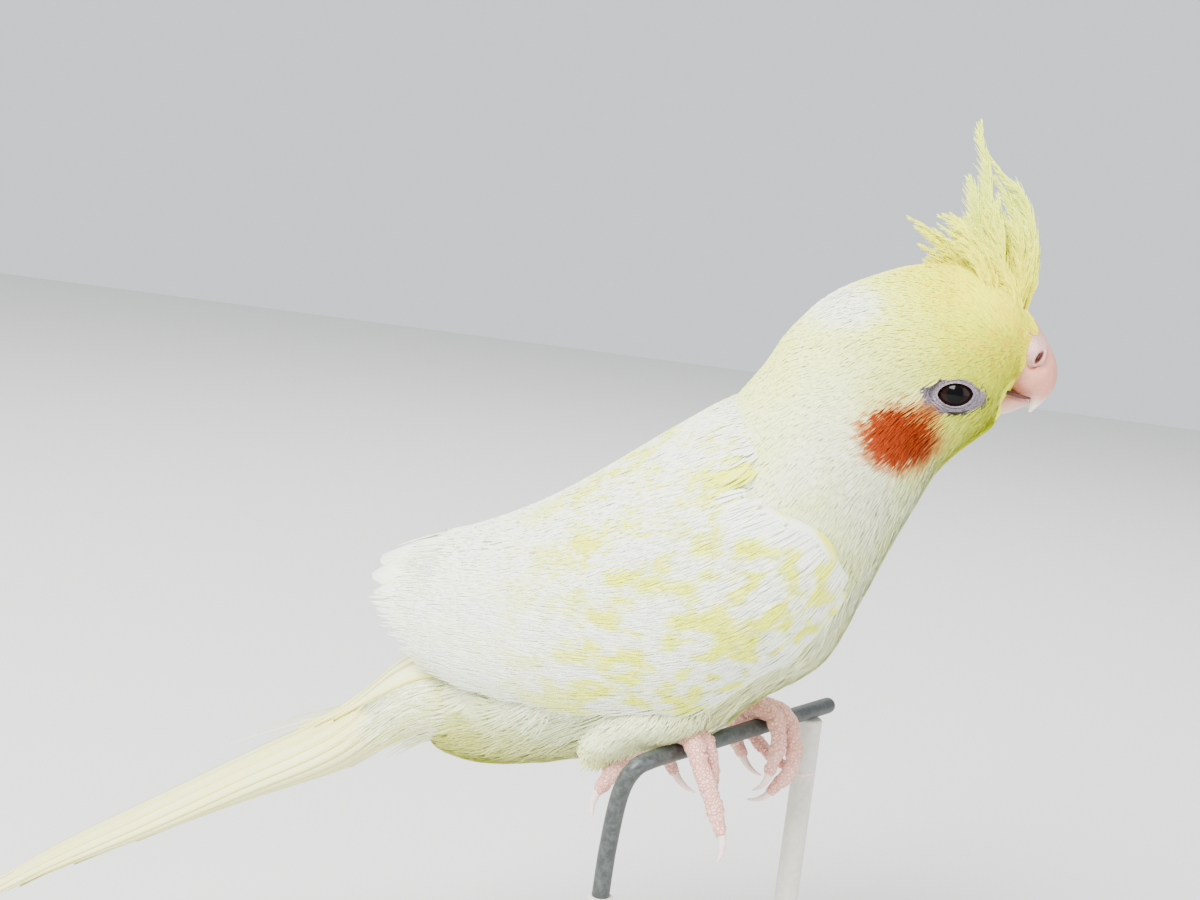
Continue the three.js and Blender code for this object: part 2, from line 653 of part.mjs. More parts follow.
// Stand: a flat base, one rod under the wire's leg and one under its far end
const base = solidFrom(new THREE.BoxGeometry(BASE_LENGTH, BASE_WIDTH, BASE_THICK))
  .translate([-BODY_SHIFT, 0, -PERCH_HEIGHT + BASE_THICK / 2]);
const rod = (x, y, top) => bar(x, y, -PERCH_HEIGHT + BASE_THICK + REST_GAP, top, ROD_R, 20);
const legEnd = wirePoints[0];
const farPoint = onWire(ROD_FAR_T);
const rodNear = rod(legEnd[0], legEnd[1], legEnd[2] - 3 * REST_GAP);
const rodFar = rod(farPoint[0], farPoint[1], WIRE_Z).subtract(wireForm(0.05));

// Feet: two toes in front and two behind on the wire, a short tarsus above
function footParts(side) {
  const c = onWire(side < 0 ? 0 : FOOT_LEFT_T);
  const away = [0.93, -0.37, 0];
  const place = (f, s, z) => add([c[0], c[1], z], add(mul(away, f), mul(WIRE_DIR, s)));
  const toes = side < 0 ? [
    [[-2, 0, 1.8, 2.0], [3, -1, 1.6, 1.8], [6.4, -2, -3, 1.6], [9, -2.6, -9, 1.4], [10.8, -3, -14, 1.1]],
    [[-2, 1, 1.8, 2.0], [3, 2, 1.4, 1.8], [5.4, 2.4, -3, 1.6], [6.4, 2.6, -8.6, 1.2]],
    [[-1, -1, 1.8, 2.0], [-4.6, -1.6, 0.6, 1.9], [-7.6, -2.2, -5, 1.7], [-11, -2.6, -11, 1.3]],
    [[-1, 0, 1.8, 2.0], [-4.2, 2, 0.4, 1.7], [-4.6, 3, -4.4, 1.4], [-3, 3.6, -7.2, 1.2]],
  ] : [
    [[-2, -1, 1.8, 2.0], [3, -1.6, 1.4, 1.8], [5.2, -2, -3.4, 1.6], [4.4, -2.4, -9.6, 1.2]],
    [[-2, 0, 1.8, 2.0], [3.4, 1, 1.6, 1.8], [6.6, 1.4, -4, 1.6], [6.4, 1.6, -10, 1.5], [3.2, 1.2, -15, 1.1]],
    [[-1, -1, 1.8, 2.0], [-4.4, -1, 0.6, 1.8], [-5.6, -1, -4.6, 1.5], [-3.2, -1, -8.4, 1.2]],
    [[-1, 1, 1.8, 2.0], [-4.4, 2.4, 0.6, 1.7], [-5.2, 3.6, -4.2, 1.4], [-1, 4.6, -8.6, 1.2], [3.4, 5, -10.6, 1]],
  ];
  const solids = toes.map((toe) => limb(
    toe.map(([f, s, z, r]) => [...place(f, s, z), r]),
    { around: 8, along: toe.length + 3, tip: 0.4 },
  ));
  const tarsus = limb([
    [c[0] - 6, c[1] + side * 0.5, 9, 1.7],
    [c[0] - 3, c[1], 4.6, 1.9],
    [c[0] - 0.6, c[1], 1.8, 2.2],
  ], { around: 10, along: 6, tip: 0.4 });
  const claws = toes.map((toe) => {
    const a = toe[toe.length - 2];
    const b = toe[toe.length - 1];
    const p = place(b[0], b[1], b[2]);
    const q = place(a[0], a[1], a[2]);
    const dir = norm(sub(p, q));
    const inward = norm(sub(place(0, b[1], -6), p));
    const curl = norm(sub(inward, mul(dir, dot(inward, dir))));
    const reach = (d, k, r) => [...add(p, add(mul(dir, d), mul(curl, k))), r];
    return limb([
      reach(0.9, 0, b[3] * 0.62),
      reach(2.2, 0.15, b[3] * 0.58),
      reach(4.0, 0.9, b[3] * 0.42),
      reach(5.4, 2.2, b[3] * 0.2),
    ], { around: 6, along: 5, tip: 0.4 });
  });
  return { flesh: union([...solids, tarsus]), claws };
}

// Assembly: each form gives way to its neighbours by the gap
const low = sectionPlane(BODY, NECK_LOW);
const high = sectionPlane(BODY, NECK_HIGH);
const up = (p, shift) => [p.normal, p.offset + shift];
const down = (p, shift) => [mul(p.normal, -1), -(p.offset - shift)];
const torso = largest(shape.trimByPlane(...down(low, GAP / 2)));
const neck = largest(shape.trimByPlane(...up(low, GAP / 2)).trimByPlane(...down(high, GAP / 2)));
const skull = shape.trimByPlane(...up(high, GAP / 2));
const head = union([skull, ...eyeSides.map((eye) => eye.lid)])
  .subtract(union(eyeSides.map((eye) => eye.hollow)))
  .subtract(union(eyeSides.map((eye) => eye.opening)))
  .subtract(union([beakForm(GAP), lowerForm(GAP), cereForm(GAP)]));
const headGrown = bodyForm(GAP).trimByPlane(...up(high, 0));

keep('torso', torso, COLOURS.plume, 0.85);
keep('neck', neck, COLOURS.plume, 0.85);
keep('head', head, COLOURS.crown, 0.85);
const faceGrown = union([headGrown, beakForm(GAP), cereForm(GAP)]);
keep('crest', crest.subtract(faceGrown), COLOURS.crest, 0.8);
keep('cere', cere, COLOURS.cere, 0.55);
keep('beak_upper', beakUpper, COLOURS.beak, 0.35);
keep('beak_lower', beakLower, COLOURS.beak, 0.4);
keep('eye_left', eyeSides[0].ball, COLOURS.eye, 0.08);
keep('eye_right', eyeSides[1].ball, COLOURS.eye, 0.08);
keep('wing_left', wingLeft, COLOURS.wing, 0.75);
keep('wing_right', mirrorY(wingLeft), COLOURS.wing, 0.75);
const wingsGrown = loft(MANTLE, { around: 26, along: 24, grow: GAP, ends: [1, 1] })
  .intersect(sidePrism(WING_OUTLINE, -WING_REACH, WING_REACH));
keep('tail', tail.subtract(wingsGrown), COLOURS.tail, 0.75);
const wire = wireForm();
const wireGrown = wireForm(GAP / 2);
for (const [label, side] of [['right', -1], ['left', 1]]) {
  const foot = footParts(side);
  const thighRaw = side > 0 ? thighForm() : mirrorY(thighForm());
  const thighGrown = side > 0 ? thighForm(GAP) : mirrorY(thighForm(GAP));
  const flesh = foot.flesh.subtract(shapeGrown).subtract(thighGrown).subtract(wireGrown);
  keep(`thigh_${label}`,
    thighRaw.subtract(union([shapeGrown, wingsGrown, wireForm(GAP)])), COLOURS.thigh, 0.85);
  const kept = keep(`foot_${label}`, flesh, COLOURS.foot, 0.6);
  foot.claws.forEach((claw, i) => {
    const clear = claw.subtract(kept).subtract(wireGrown).subtract(thighGrown);
    keep(`claw_${label}_${i + 1}`, clear, COLOURS.claw, 0.35);
  });
}
keep('perch_wire', wire, COLOURS.wire, 0.45, 0.6);
keep('stand_base', base, COLOURS.base, 0.6);
keep('stand_rod_near', rodNear, COLOURS.wire, 0.4, 0.6);
keep('stand_rod_far', rodFar, COLOURS.wire, 0.4, 0.6);

// Placing: the bird's own frame stands in the frame of the base
const bird = new THREE.Group();
bird.position.set(BODY_SHIFT, 0, PERCH_HEIGHT);
group.add(bird);
for (const part of parts) {
  const geometry = BufferGeometryUtils.mergeVertices(geometryOf(settled(settled(part.body))), 1e-4);
  geometry.computeVertexNormals();
  const object = new THREE.Mesh(geometry, part.material);
  object.name = part.name;
  bird.add(object);
}

export default group;
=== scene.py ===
"""A life size still cockatiel on a cut length of wire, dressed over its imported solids.

Every surface is worked out with numpy in the bird's own frame, in millimetres:
X runs the way the bird faces, Y to its left, Z up, from the sole of its right foot.
"""
import logging
import math
from dataclasses import dataclass, field
from enum import Enum
from typing import Callable, Sequence

import bpy
import numpy as np
from mathutils import Matrix, Vector


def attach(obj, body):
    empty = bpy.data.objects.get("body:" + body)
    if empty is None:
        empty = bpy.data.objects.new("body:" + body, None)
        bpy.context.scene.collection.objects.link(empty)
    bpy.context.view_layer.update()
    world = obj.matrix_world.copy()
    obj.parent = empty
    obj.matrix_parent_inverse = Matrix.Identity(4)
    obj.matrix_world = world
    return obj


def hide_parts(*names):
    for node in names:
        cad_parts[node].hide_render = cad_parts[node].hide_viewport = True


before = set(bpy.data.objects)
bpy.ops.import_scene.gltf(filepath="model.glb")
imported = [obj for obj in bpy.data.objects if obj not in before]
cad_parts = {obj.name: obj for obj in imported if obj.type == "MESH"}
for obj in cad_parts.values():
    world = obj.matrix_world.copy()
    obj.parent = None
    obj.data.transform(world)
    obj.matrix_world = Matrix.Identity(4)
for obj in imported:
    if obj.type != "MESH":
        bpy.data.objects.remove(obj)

LOG = logging.getLogger("cockatiel")
SEED = 20
TURN = 2 * math.pi
TOP = math.pi / 2
BODY_SHIFT = 15.0
PERCH_HEIGHT = 86.0
FOOT_Y = 12.0
WIRE_R = 1.7
WIRE_DIR = np.array([0.5, 0.866, 0.0])
SIDES = ((1, "left"), (-1, "right"))
# The skin and down beds under the coat are painted this much darker: painted shade under the feathers.
DOWN_SHADE = 0.94
PATCH = 0.003

# Sections of the body: top x, top z, bottom x, bottom z, half width, middle y
BODY_ROWS = [
    [-52, 2, -53, -7, 3.0, 0], [-50, 9, -50, -12.2, 8.0, 0], [-44, 18, -41, -13.6, 12.0, 0],
    [-34, 28, -30, -11.6, 16.5, 0], [-23, 38.5, -20, -8.6, 19.5, 0], [-12, 48, -9, -5.4, 21.5, 0],
    [-3, 58, 3, -0.6, 22.8, 0], [1.2, 65.4, 14, 8.4, 23.0, 0], [4, 69.5, 24.6, 17.4, 21.8, 0],
    [6.5, 73.4, 30.2, 31, 19.6, 0], [8.8, 78, 33.8, 41, 17.4, 0], [11.4, 81.6, 37.2, 49.5, 15.6, 0],
    [14.6, 85.4, 40, 56.2, 15.0, 0], [18.6, 88.6, 43.4, 60.8, 15.2, 0],
    [23.5, 91.2, 46.5, 64, 15.4, 0], [29, 93.6, 49, 66.6, 15.1, 0], [35, 95.0, 50.6, 69.4, 14.2, 0],
    [40.6, 95.2, 51.6, 72, 12.8, 0], [45.6, 93.8, 52.6, 74.8, 10.8, 0],
    [49.6, 91.2, 53.2, 77.2, 8.0, 0], [52.0, 87.6, 53.6, 80.2, 4.6, 0],
]
MANTLE_ROWS = [
    [-70, 22, -69, 14, 6.0, 0], [-65, 25.5, -63, 8, 11.0, 0], [-56, 29.5, -53, 1.5, 15.5, 0],
    [-46, 33.4, -43, -2.5, 19.2, 0], [-35, 39.2, -32, -4, 22.2, 0],
    [-24, 46.8, -21, -4.5, 24.6, 0], [-13, 55.4, -10, -3.5, 26.4, 0], [-4, 62.2, 2, -0.5, 27.2, 0],
    [2, 66.8, 14, 8.4, 26.9, 0], [5, 70.5, 25, 17.4, 25.2, 0], [8, 74.4, 32, 31, 21.6, 0],
    [11, 77, 37, 41, 17.0, 0],
]
TAIL_ROWS = [
    [-41, 9, -40, -6, 6.0, 0], [-48, 9.5, -46, -10.6, 9.4, 0], [-57.8, 4.2, -53.5, -12.6, 11.0, 0],
    [-71.4, -9.6, -66, -22.4, 11.4, 0], [-91, -23, -86.5, -33, 10.8, 0],
    [-112, -37.2, -108.4, -45.4, 9.2, 0], [-131, -50, -128.3, -56.4, 7.2, 0],
    [-146, -61.3, -143.9, -65.3, 4.8, 0], [-158, -70, -156.6, -72.6, 2.8, 0],
    [-166.4, -76.2, -165.8, -77.2, 1.0, 0],
]
THIGH_ROWS = [
    [-12, 14, 8, 10, 4.0, 11.5], [-14.6, 6, 3.0, 3.4, 6.4, 12.2], [-17.6, -1, -5.6, -1.6, 5.6, 11.4],
    [-18.6, -5.0, -11.0, -5.4, 3.6, 10.2], [-17.8, -7.6, -14.0, -8, 1.8, 9.4],
]
BILL_UPPER_ROWS = [
    [50.6, 89.6, 46.6, 78.6, 5.0, 0], [53.6, 87.4, 48.4, 76.4, 5.6, 0],
    [56.4, 83.9, 50.4, 74.6, 5.7, 0], [58.5, 80.7, 52.0, 73.5, 5.1, 0],
    [59.3, 78.1, 53.2, 73.1, 4.2, 0], [59.3, 75.8, 54.2, 72.9, 3.3, 0],
    [58.6, 73.8, 55.0, 72.3, 2.3, 0], [57.2, 71.8, 55.2, 71.4, 1.3, 0],
    [55.9, 70.3, 55.2, 70.5, 0.5, 0],
]
BILL_LOWER_ROWS = [
    [46.6, 74.2, 47.6, 68.8, 3.6, 0], [49.4, 74.2, 50.0, 69.0, 4.6, 0],
    [51.6, 74.0, 52.0, 69.6, 4.3, 0], [53.4, 73.2, 53.6, 70.6, 3.2, 0],
    [54.6, 72.2, 54.7, 71.4, 1.6, 0],
]
CERE_ROWS = [
    [49.6, 90.2, 49.2, 80.4, 5.4, 0], [52.2, 88.6, 51.2, 78.4, 6.6, 0],
    [54.4, 86.0, 53.4, 77.6, 6.5, 0], [56.4, 83.6, 55.6, 78.4, 5.2, 0],
]
# Front edge of the face's feathers against the bill: x, z and half width
LORES_EDGE = np.array([
    [52.2, 88.8, 3.4], [54.5, 85.4, 4.9], [54.0, 82.6, 6.2], [53.4, 79.9, 6.4], [52.7, 77.9, 6.3],
    [51.4, 76.2, 6.0], [50.5, 74.6, 5.8], [50.2, 73.0, 5.2], [50.2, 71.4, 4.7], [50.2, 69.4, 4.2],
    [49.6, 67.8, 2.6],
])
# Edges of the folded wing as seen from its side, shoulder to tip
WING_LOWER = np.array([[26.8, 33], [21, 23.6], [5, 10], [-18, 5.6], [-42, 6.4], [-57, 14]])
WING_UPPER = np.array([[27.2, 36.6], [21.6, 45], [6, 51.6], [-13, 54], [-38, 38], [-57, 26]])
WING_OUTLINE = np.concatenate([WING_LOWER, WING_UPPER[::-1]])

Grid = tuple[np.ndarray, np.ndarray]
Laid = dict[str, np.ndarray]
Place = Callable[..., np.ndarray]


def srgb(code: str) -> tuple[float, float, float, float]:
    """Turn an sRGB hex colour into linear red, green, blue and one.

    Args:
        code: six hex digits after a hash sign.

    Returns:
        The linear colour with full alpha.
    """
    values = [int(code[i:i + 2], 16) / 255 for i in (1, 3, 5)]
    linear = [v / 12.92 if v <= 0.04045 else ((v + 0.055) / 1.055) ** 2.4 for v in values]
    return (*linear, 1.0)


def blended(colour: np.ndarray, shade: str, amount: np.ndarray) -> np.ndarray:
    """Blend a hex colour over linear ones by an amount from 0 to 1."""
    return colour + (np.array(srgb(shade)[:3]) - colour) * np.clip(amount, 0, 1)[..., None]


def smooth(x: np.ndarray, low: float, high: float) -> np.ndarray:
    """Rise smoothly from 0 at low to 1 at high, 3q squared less 2q cubed.

    Args:
        x: where it is worked out.
        low: where the rise begins.
        high: where it ends; it may be under low, and the curve then falls.

    Returns:
        Values from 0 to 1.
    """
    q = np.clip((np.asarray(x, float) - low) / (high - low), 0, 1)
    return q * q * (3 - 2 * q)


def between(a: np.ndarray, b: np.ndarray, f: np.ndarray | float) -> np.ndarray:
    """Run straight from a at f = 0 to b at f = 1."""
    return a * (1 - f) + b * f


def unit(a: np.ndarray) -> np.ndarray:
    """Scale each vector of an array to length one."""
    return a / np.maximum(np.linalg.norm(a, axis=-1, keepdims=True), 1e-9)


def stacked(*parts: np.ndarray) -> np.ndarray:
    """Spread arrays to one shape and put them side by side on a last axis."""
    return np.stack(np.broadcast_arrays(*parts), -1)


def noise(points: np.ndarray, size: float, seed: int = 0) -> np.ndarray:
    """Value noise: a random value at each corner of a lattice, blended smoothly between.

    Args:
        points: places in millimetres, the last axis of three.
        size: the lattice's step in millimetres.
        seed: another seed gives another field.

    Returns:
        Values from 0 to 1, one for each place.
    """
    q = np.asarray(points, float) / size + 512.0
    cell = np.floor(q).astype(np.int64)
    part = q - cell
    part = part * part * (3 - 2 * part)
    total = np.zeros(q.shape[:-1])
    for corner in range(8):
        offset = np.array([corner & 1, corner >> 1 & 1, corner >> 2 & 1])
        at = cell + offset
        mixed = at[..., 0] * 73856093 ^ at[..., 1] * 19349663 ^ at[..., 2] * 83492791 ^ seed * 2654435
        mixed = (mixed ^ (mixed >> 13)) * 1274126177 & 0x7FFFFFFF
        value = (mixed ^ (mixed >> 16)) % 10007 / 10007.0
        total += value * np.prod(np.where(offset, part, 1 - part), axis=-1)
    return total


def spline(rows: np.ndarray, t: np.ndarray) -> np.ndarray:
    """Run a smooth curve through rows of numbers, each segment a cubic through its four rows.

    Args:
        rows: the rows of numbers that the curve passes through.
        t: places along it, from 0 to the last row's index.

    Returns:
        One row of numbers for each place.
    """
    rows = np.asarray(rows, float)
    last = len(rows) - 1
    padded = np.vstack([2 * rows[0] - rows[1], rows, 2 * rows[-1] - rows[-2]])
    t = np.asarray(t, float)
    i = np.clip(np.floor(t).astype(int), 0, last - 1)
    f = (t - i)[..., None]
    p0, p1, p2, p3 = (padded[i + k] for k in range(4))
    return 0.5 * (2 * p1 + (p2 - p0) * f + (2 * p0 - 5 * p1 + 4 * p2 - p3) * f * f
                  + (3 * p1 - p0 - 3 * p2 + p3) * f ** 3)


@dataclass
class Sections:
    """A body told by ellipses that stand across the middle plane, one on each row."""

    rows: Sequence[Sequence[float]]

    def ellipse(self, t: np.ndarray) -> tuple[np.ndarray, ...]:
        """Give each section's middle, its half axis up, its half width and its middle y."""
        row = spline(self.rows, t)
        top, bottom = row[..., :2], row[..., 2:4]
        return (top + bottom) / 2, (top - bottom) / 2, row[..., 4], row[..., 5]

    def points(self, t: np.ndarray, angle: np.ndarray, lift: np.ndarray | float = 0.0) -> np.ndarray:
        """Place points: middle plus cosine of the angle across and sine of it up the section.

        Args:
            t: place along the rows.
            angle: round the section, a quarter turn being its top.
            lift: distance out from the surface in millimetres.

        Returns:
            Points in the bird's frame.
        """
        t, angle, lift = np.broadcast_arrays(t, angle, lift)
        middle, half, wide, y = self.ellipse(t)
        size = np.maximum(np.linalg.norm(half, axis=-1), 1e-6)
        flat = middle + half * (np.sin(angle) * (1 + lift / size))[..., None]
        return np.stack([flat[..., 0], y + np.cos(angle) * (np.abs(wide) + lift), flat[..., 1]], -1)

    def steps(self, t: np.ndarray, angle: np.ndarray) -> Grid:
        """Give the length of one row's step and of one radian at each place, in millimetres."""
        e = 0.02
        along = self.points(t + e, angle) - self.points(t - e, angle)
        round_it = self.points(t, angle + e) - self.points(t, angle - e)
        return tuple(np.maximum(np.linalg.norm(a, axis=-1) / (2 * e), 0.6) for a in (along, round_it))

    def seen_at(self, x: np.ndarray, z: np.ndarray) -> Grid:
        """Find the row and angle of the flank that is seen at (x, z) from the side, by halving.

        Args:
            x: distance forward.
            z: height.

        Returns:
            The place along the rows and the angle round the left flank.
        """
        flat = stacked(x, z).astype(float)

        def off(t: np.ndarray) -> np.ndarray:
            """Cross the section's axis with the way from its foot to the point: 0 on the axis."""
            middle, half, _, _ = self.ellipse(t)
            away = flat - (middle - half)
            return half[..., 0] * away[..., 1] - half[..., 1] * away[..., 0]

        low = np.zeros(flat.shape[:-1])
        high = np.full(flat.shape[:-1], len(self.rows) - 1.0)
        start = np.sign(off(low))
        for _ in range(24):
            t = (low + high) / 2
            same = np.sign(off(t)) == start
            low, high = np.where(same, t, low), np.where(same, high, t)
        t = (low + high) / 2
        middle, half, _, _ = self.ellipse(t)
        q = (half * (flat - middle)).sum(-1) / np.maximum((half * half).sum(-1), 1e-6)
        return t, np.arcsin(np.clip(q, -0.985, 0.985))

    def down(self, t: np.ndarray, angle: np.ndarray) -> np.ndarray:
        """Point from the higher rows to the lower ones, as a unit vector on the surface."""
        return unit(self.points(t - 0.02, angle) - self.points(t + 0.02, angle))


BODY = Sections(BODY_ROWS)
MANTLE = Sections(MANTLE_ROWS)
TAIL = Sections(TAIL_ROWS)


def mirrored(points: np.ndarray, side: int) -> np.ndarray:
    """Turn left flank points to the wanted side of the middle plane."""
    return points * np.array([1, side, 1])


def grid_faces(count: int, rows: int, cols: int, round_it: bool = False, flip: bool = False) -> np.ndarray:
    """List the quads of many equal grids laid one after another in a vertex array.

    Args:
        count: how many grids.
        rows: vertices along each.
        cols: vertices across each.
        round_it: join the last column to the first.
        flip: turn the faces over.

    Returns:
        An array of vertex numbers, four to a face.
    """
    r = np.arange(rows - 1)[:, None]
    c = np.arange(cols if round_it else cols - 1)[None, :]
    a = r * cols + c
    b = r * cols + (c + 1) % cols
    quad = np.stack([a, b, b + cols, a + cols], -1).reshape(-1, 4)
    if flip:
        quad = quad[:, ::-1]
    return (quad[None] + np.arange(count)[:, None, None] * rows * cols).reshape(-1, 4)


def make_piece(name: str, points: np.ndarray, quads: np.ndarray, colour: np.ndarray | None = None,
               vane: np.ndarray | None = None, bake: np.ndarray | None = None) -> bpy.types.Object:
    """Put arrays of points and quads into a mesh object whose place is in its mesh.

    Args:
        name: the object's name.
        points: vertices in the bird's frame, in millimetres.
        quads: four vertex numbers to a face; a repeated last one makes a triangle.
        colour: linear colours, one for each vertex.
        vane: the Vane map, across and along in millimetres, one pair for each vertex.
        bake: the OFBake map, one pair for each vertex.

    Returns:
        The new object, linked to the scene.
    """
    points = points.reshape(-1, 3)
    place = (points + np.array([BODY_SHIFT, 0, PERCH_HEIGHT])) * 0.001
    mesh = bpy.data.meshes.new(name)
    mesh.vertices.add(len(place))
    mesh.vertices.foreach_set("co", place.astype(np.float32).ravel())
    triangle = quads[:, 2] == quads[:, 3]
    keep = np.ones(quads.shape, bool)
    keep[triangle, 3] = False
    corners = quads[keep]
    mesh.loops.add(len(corners))
    mesh.loops.foreach_set("vertex_index", corners.astype(np.int32))
    mesh.polygons.add(len(quads))
    starts = np.concatenate([[0], np.cumsum(np.where(triangle, 3, 4))[:-1]])
    mesh.polygons.foreach_set("loop_start", starts.astype(np.int32))
    mesh.polygons.foreach_set("use_smooth", np.ones(len(quads), bool))
    mesh.update(calc_edges=True)
    if colour is not None:
        layer = mesh.color_attributes.new(name="Plume", type="FLOAT_COLOR", domain="POINT")
        rgba = np.concatenate([colour.reshape(-1, 3), np.ones((len(place), 1))], 1)
        layer.data.foreach_set("color", rgba.astype(np.float32).ravel())
    for label, values in (("OFBake", bake), ("Vane", vane)):
        if values is not None:
            layer = mesh.uv_layers.new(name=label)
            layer.data.foreach_set("uv", values.reshape(-1, 2)[corners].astype(np.float32).ravel())
    obj = bpy.data.objects.new(name, mesh)
    bpy.context.scene.collection.objects.link(obj)
    return obj


def dress(obj: bpy.types.Object, material: bpy.types.Material, slot: str, *nodes: str) -> None:
    """Give a piece its material, its body and the nodes that it replaces."""
    obj.data.materials.append(material)
    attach(obj, "root")
    if nodes:
        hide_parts(*nodes)
    LOG.info("%s: %d faces", obj.name, len(obj.data.polygons))


def add_node(tree: bpy.types.NodeTree, kind: str, settings: dict | None = None,
             inputs: dict | None = None) -> bpy.types.Node:
    """Add one shader node, set it and link it.

    Args:
        tree: the material's node tree.
        kind: Blender's name of the node.
        settings: properties to set.
        inputs: values, or sockets to link, by input name or number.

    Returns:
        The new node.
    """
    node = tree.nodes.new(kind)
    for key, value in (settings or {}).items():
        setattr(node, key, value)
    for key, value in (inputs or {}).items():
        socket = node.inputs[key]
        if isinstance(value, bpy.types.NodeSocket):
            tree.links.new(value, socket)
        else:
            socket.default_value = value
    return node


def new_material(name: str) -> tuple[bpy.types.Material, bpy.types.NodeTree, bpy.types.Node]:
    """Make a material with one Principled shader.

    Args:
        name: its name.

    Returns:
        The material, its tree and its shader.
    """
    material = bpy.data.materials.new(name)
    material.use_nodes = True
    tree = material.node_tree
    return material, tree, tree.nodes["Principled BSDF"]


@dataclass(frozen=True)
class PlumageFinish:
    """Keratin feather vanes: barbs set close along a shaft give a silky, soft white sheen."""

    name: str
    barb_mm: float = 0.42
    slant: float = 0.9
    depth: float = 0.25
    roughness: float = 0.8
    sheen: float = 0.02
    # how much darker the low lines between barbs are painted: painted shade in the grooves
    groove_shade: float = 0.03
    fleck_scale: float = 900.0

    def build(self) -> bpy.types.Material:
        """Read the vertex colour and lay slanting barb lines on it in the Vane map.

        A barb line's height is the sine of (along less slant times across) over its spacing.
        Real barbs lie 0.1 mm apart; they are drawn coarser here so that they show.
        The colour is darkened along the low lines between barbs: painted shade in the grooves.

        Returns:
            The material.
        """
        material, tree, shader = new_material(self.name)
        colour = add_node(tree, "ShaderNodeAttribute", {"attribute_name": "Plume"})
        vane = add_node(tree, "ShaderNodeUVMap", {"uv_map": "Vane"})
        split = add_node(tree, "ShaderNodeSeparateXYZ", None, {0: vane.outputs[0]})
        across = add_node(tree, "ShaderNodeMath", {"operation": "ABSOLUTE"}, {0: split.outputs[0]})
        lean = add_node(tree, "ShaderNodeMath", {"operation": "MULTIPLY"},
                        {0: across.outputs[0], 1: -self.slant})
        along = add_node(tree, "ShaderNodeMath", {"operation": "ADD"},
                         {0: lean.outputs[0], 1: split.outputs[1]})
        turned = add_node(tree, "ShaderNodeMath", {"operation": "MULTIPLY"},
                          {0: along.outputs[0], 1: TURN / self.barb_mm})
        wave = add_node(tree, "ShaderNodeMath", {"operation": "SINE"}, {0: turned.outputs[0]})
        place = add_node(tree, "ShaderNodeTexCoord")
        patch = add_node(tree, "ShaderNodeTexNoise", None,
                         {"Vector": place.outputs["Object"], "Scale": self.fleck_scale, "Detail": 3.0})
        # Darken the colour along the low lines between barbs: painted shade in the grooves.
        shade = add_node(tree, "ShaderNodeMapRange", None,
                         {0: wave.outputs[0], 1: -1.0, 2: 1.0, 3: 1 - self.groove_shade, 4: 1.0})
        fleck = add_node(tree, "ShaderNodeMapRange", None,
                         {0: patch.outputs[0], 1: 0.3, 2: 0.7, 3: 0.96, 4: 1.0})
        both = add_node(tree, "ShaderNodeMath", {"operation": "MULTIPLY"},
                        {0: shade.outputs[0], 1: fleck.outputs[0]})
        tinted = add_node(tree, "ShaderNodeVectorMath", {"operation": "SCALE"},
                          {0: colour.outputs["Color"], "Scale": both.outputs[0]})
        tree.links.new(tinted.outputs[0], shader.inputs["Base Color"])
        bump = add_node(tree, "ShaderNodeBump", None,
                        {"Strength": self.depth, "Distance": 0.00006, "Height": wave.outputs[0]})
        tree.links.new(bump.outputs[0], shader.inputs["Normal"])
        shader.inputs["Roughness"].default_value = self.roughness
        shader.inputs["Sheen Weight"].default_value = self.sheen
        shader.inputs["Sheen Roughness"].default_value = 0.5
        shader.inputs["Specular IOR Level"].default_value = 0.2
        return material


@dataclass(frozen=True)
class SkinFinish:
    """Bare or scaled living skin: matt, a little waxy, with fine pebbled wrinkles."""

    name: str
    light: str
    deep: str
    cell_mm: float
    depth: float
    roughness: float = 0.5

    def build(self) -> bpy.types.Material:
        """Blend two skin tones by small cells and raise the cells a little.

        Returns:
            The material.
        """
        material, tree, shader = new_material(self.name)
        place = add_node(tree, "ShaderNodeTexCoord")
        scale = 1000.0 / self.cell_mm
        cells = add_node(tree, "ShaderNodeTexVoronoi", {"feature": "DISTANCE_TO_EDGE"},
                         {"Vector": place.outputs["Object"], "Scale": scale})
        seam = add_node(tree, "ShaderNodeMapRange", None, {0: cells.outputs[0], 1: 0.0, 2: 0.16})
        cloud = add_node(tree, "ShaderNodeTexNoise", None,
                         {"Vector": place.outputs["Object"], "Scale": scale * 0.2, "Detail": 4.0})
        tone = add_node(tree, "ShaderNodeMath", {"operation": "MULTIPLY_ADD"},
                        {0: seam.outputs[0], 1: 0.45, 2: cloud.outputs[0]})
        blend = add_node(tree, "ShaderNodeMix", {"data_type": "RGBA"},
                         {0: tone.outputs[0], 6: srgb(self.deep), 7: srgb(self.light)})
        tree.links.new(blend.outputs[2], shader.inputs["Base Color"])
        bump = add_node(tree, "ShaderNodeBump", None,
                        {"Strength": self.depth, "Distance": 0.0002, "Height": seam.outputs[0]})
        tree.links.new(bump.outputs[0], shader.inputs["Normal"])
        shader.inputs["Roughness"].default_value = self.roughness
        shader.inputs["Subsurface Weight"].default_value = 0.12
        shader.inputs["Subsurface Radius"].default_value = (0.001, 0.0005, 0.0003)
        shader.inputs["Subsurface Scale"].default_value = 0.6
        return material


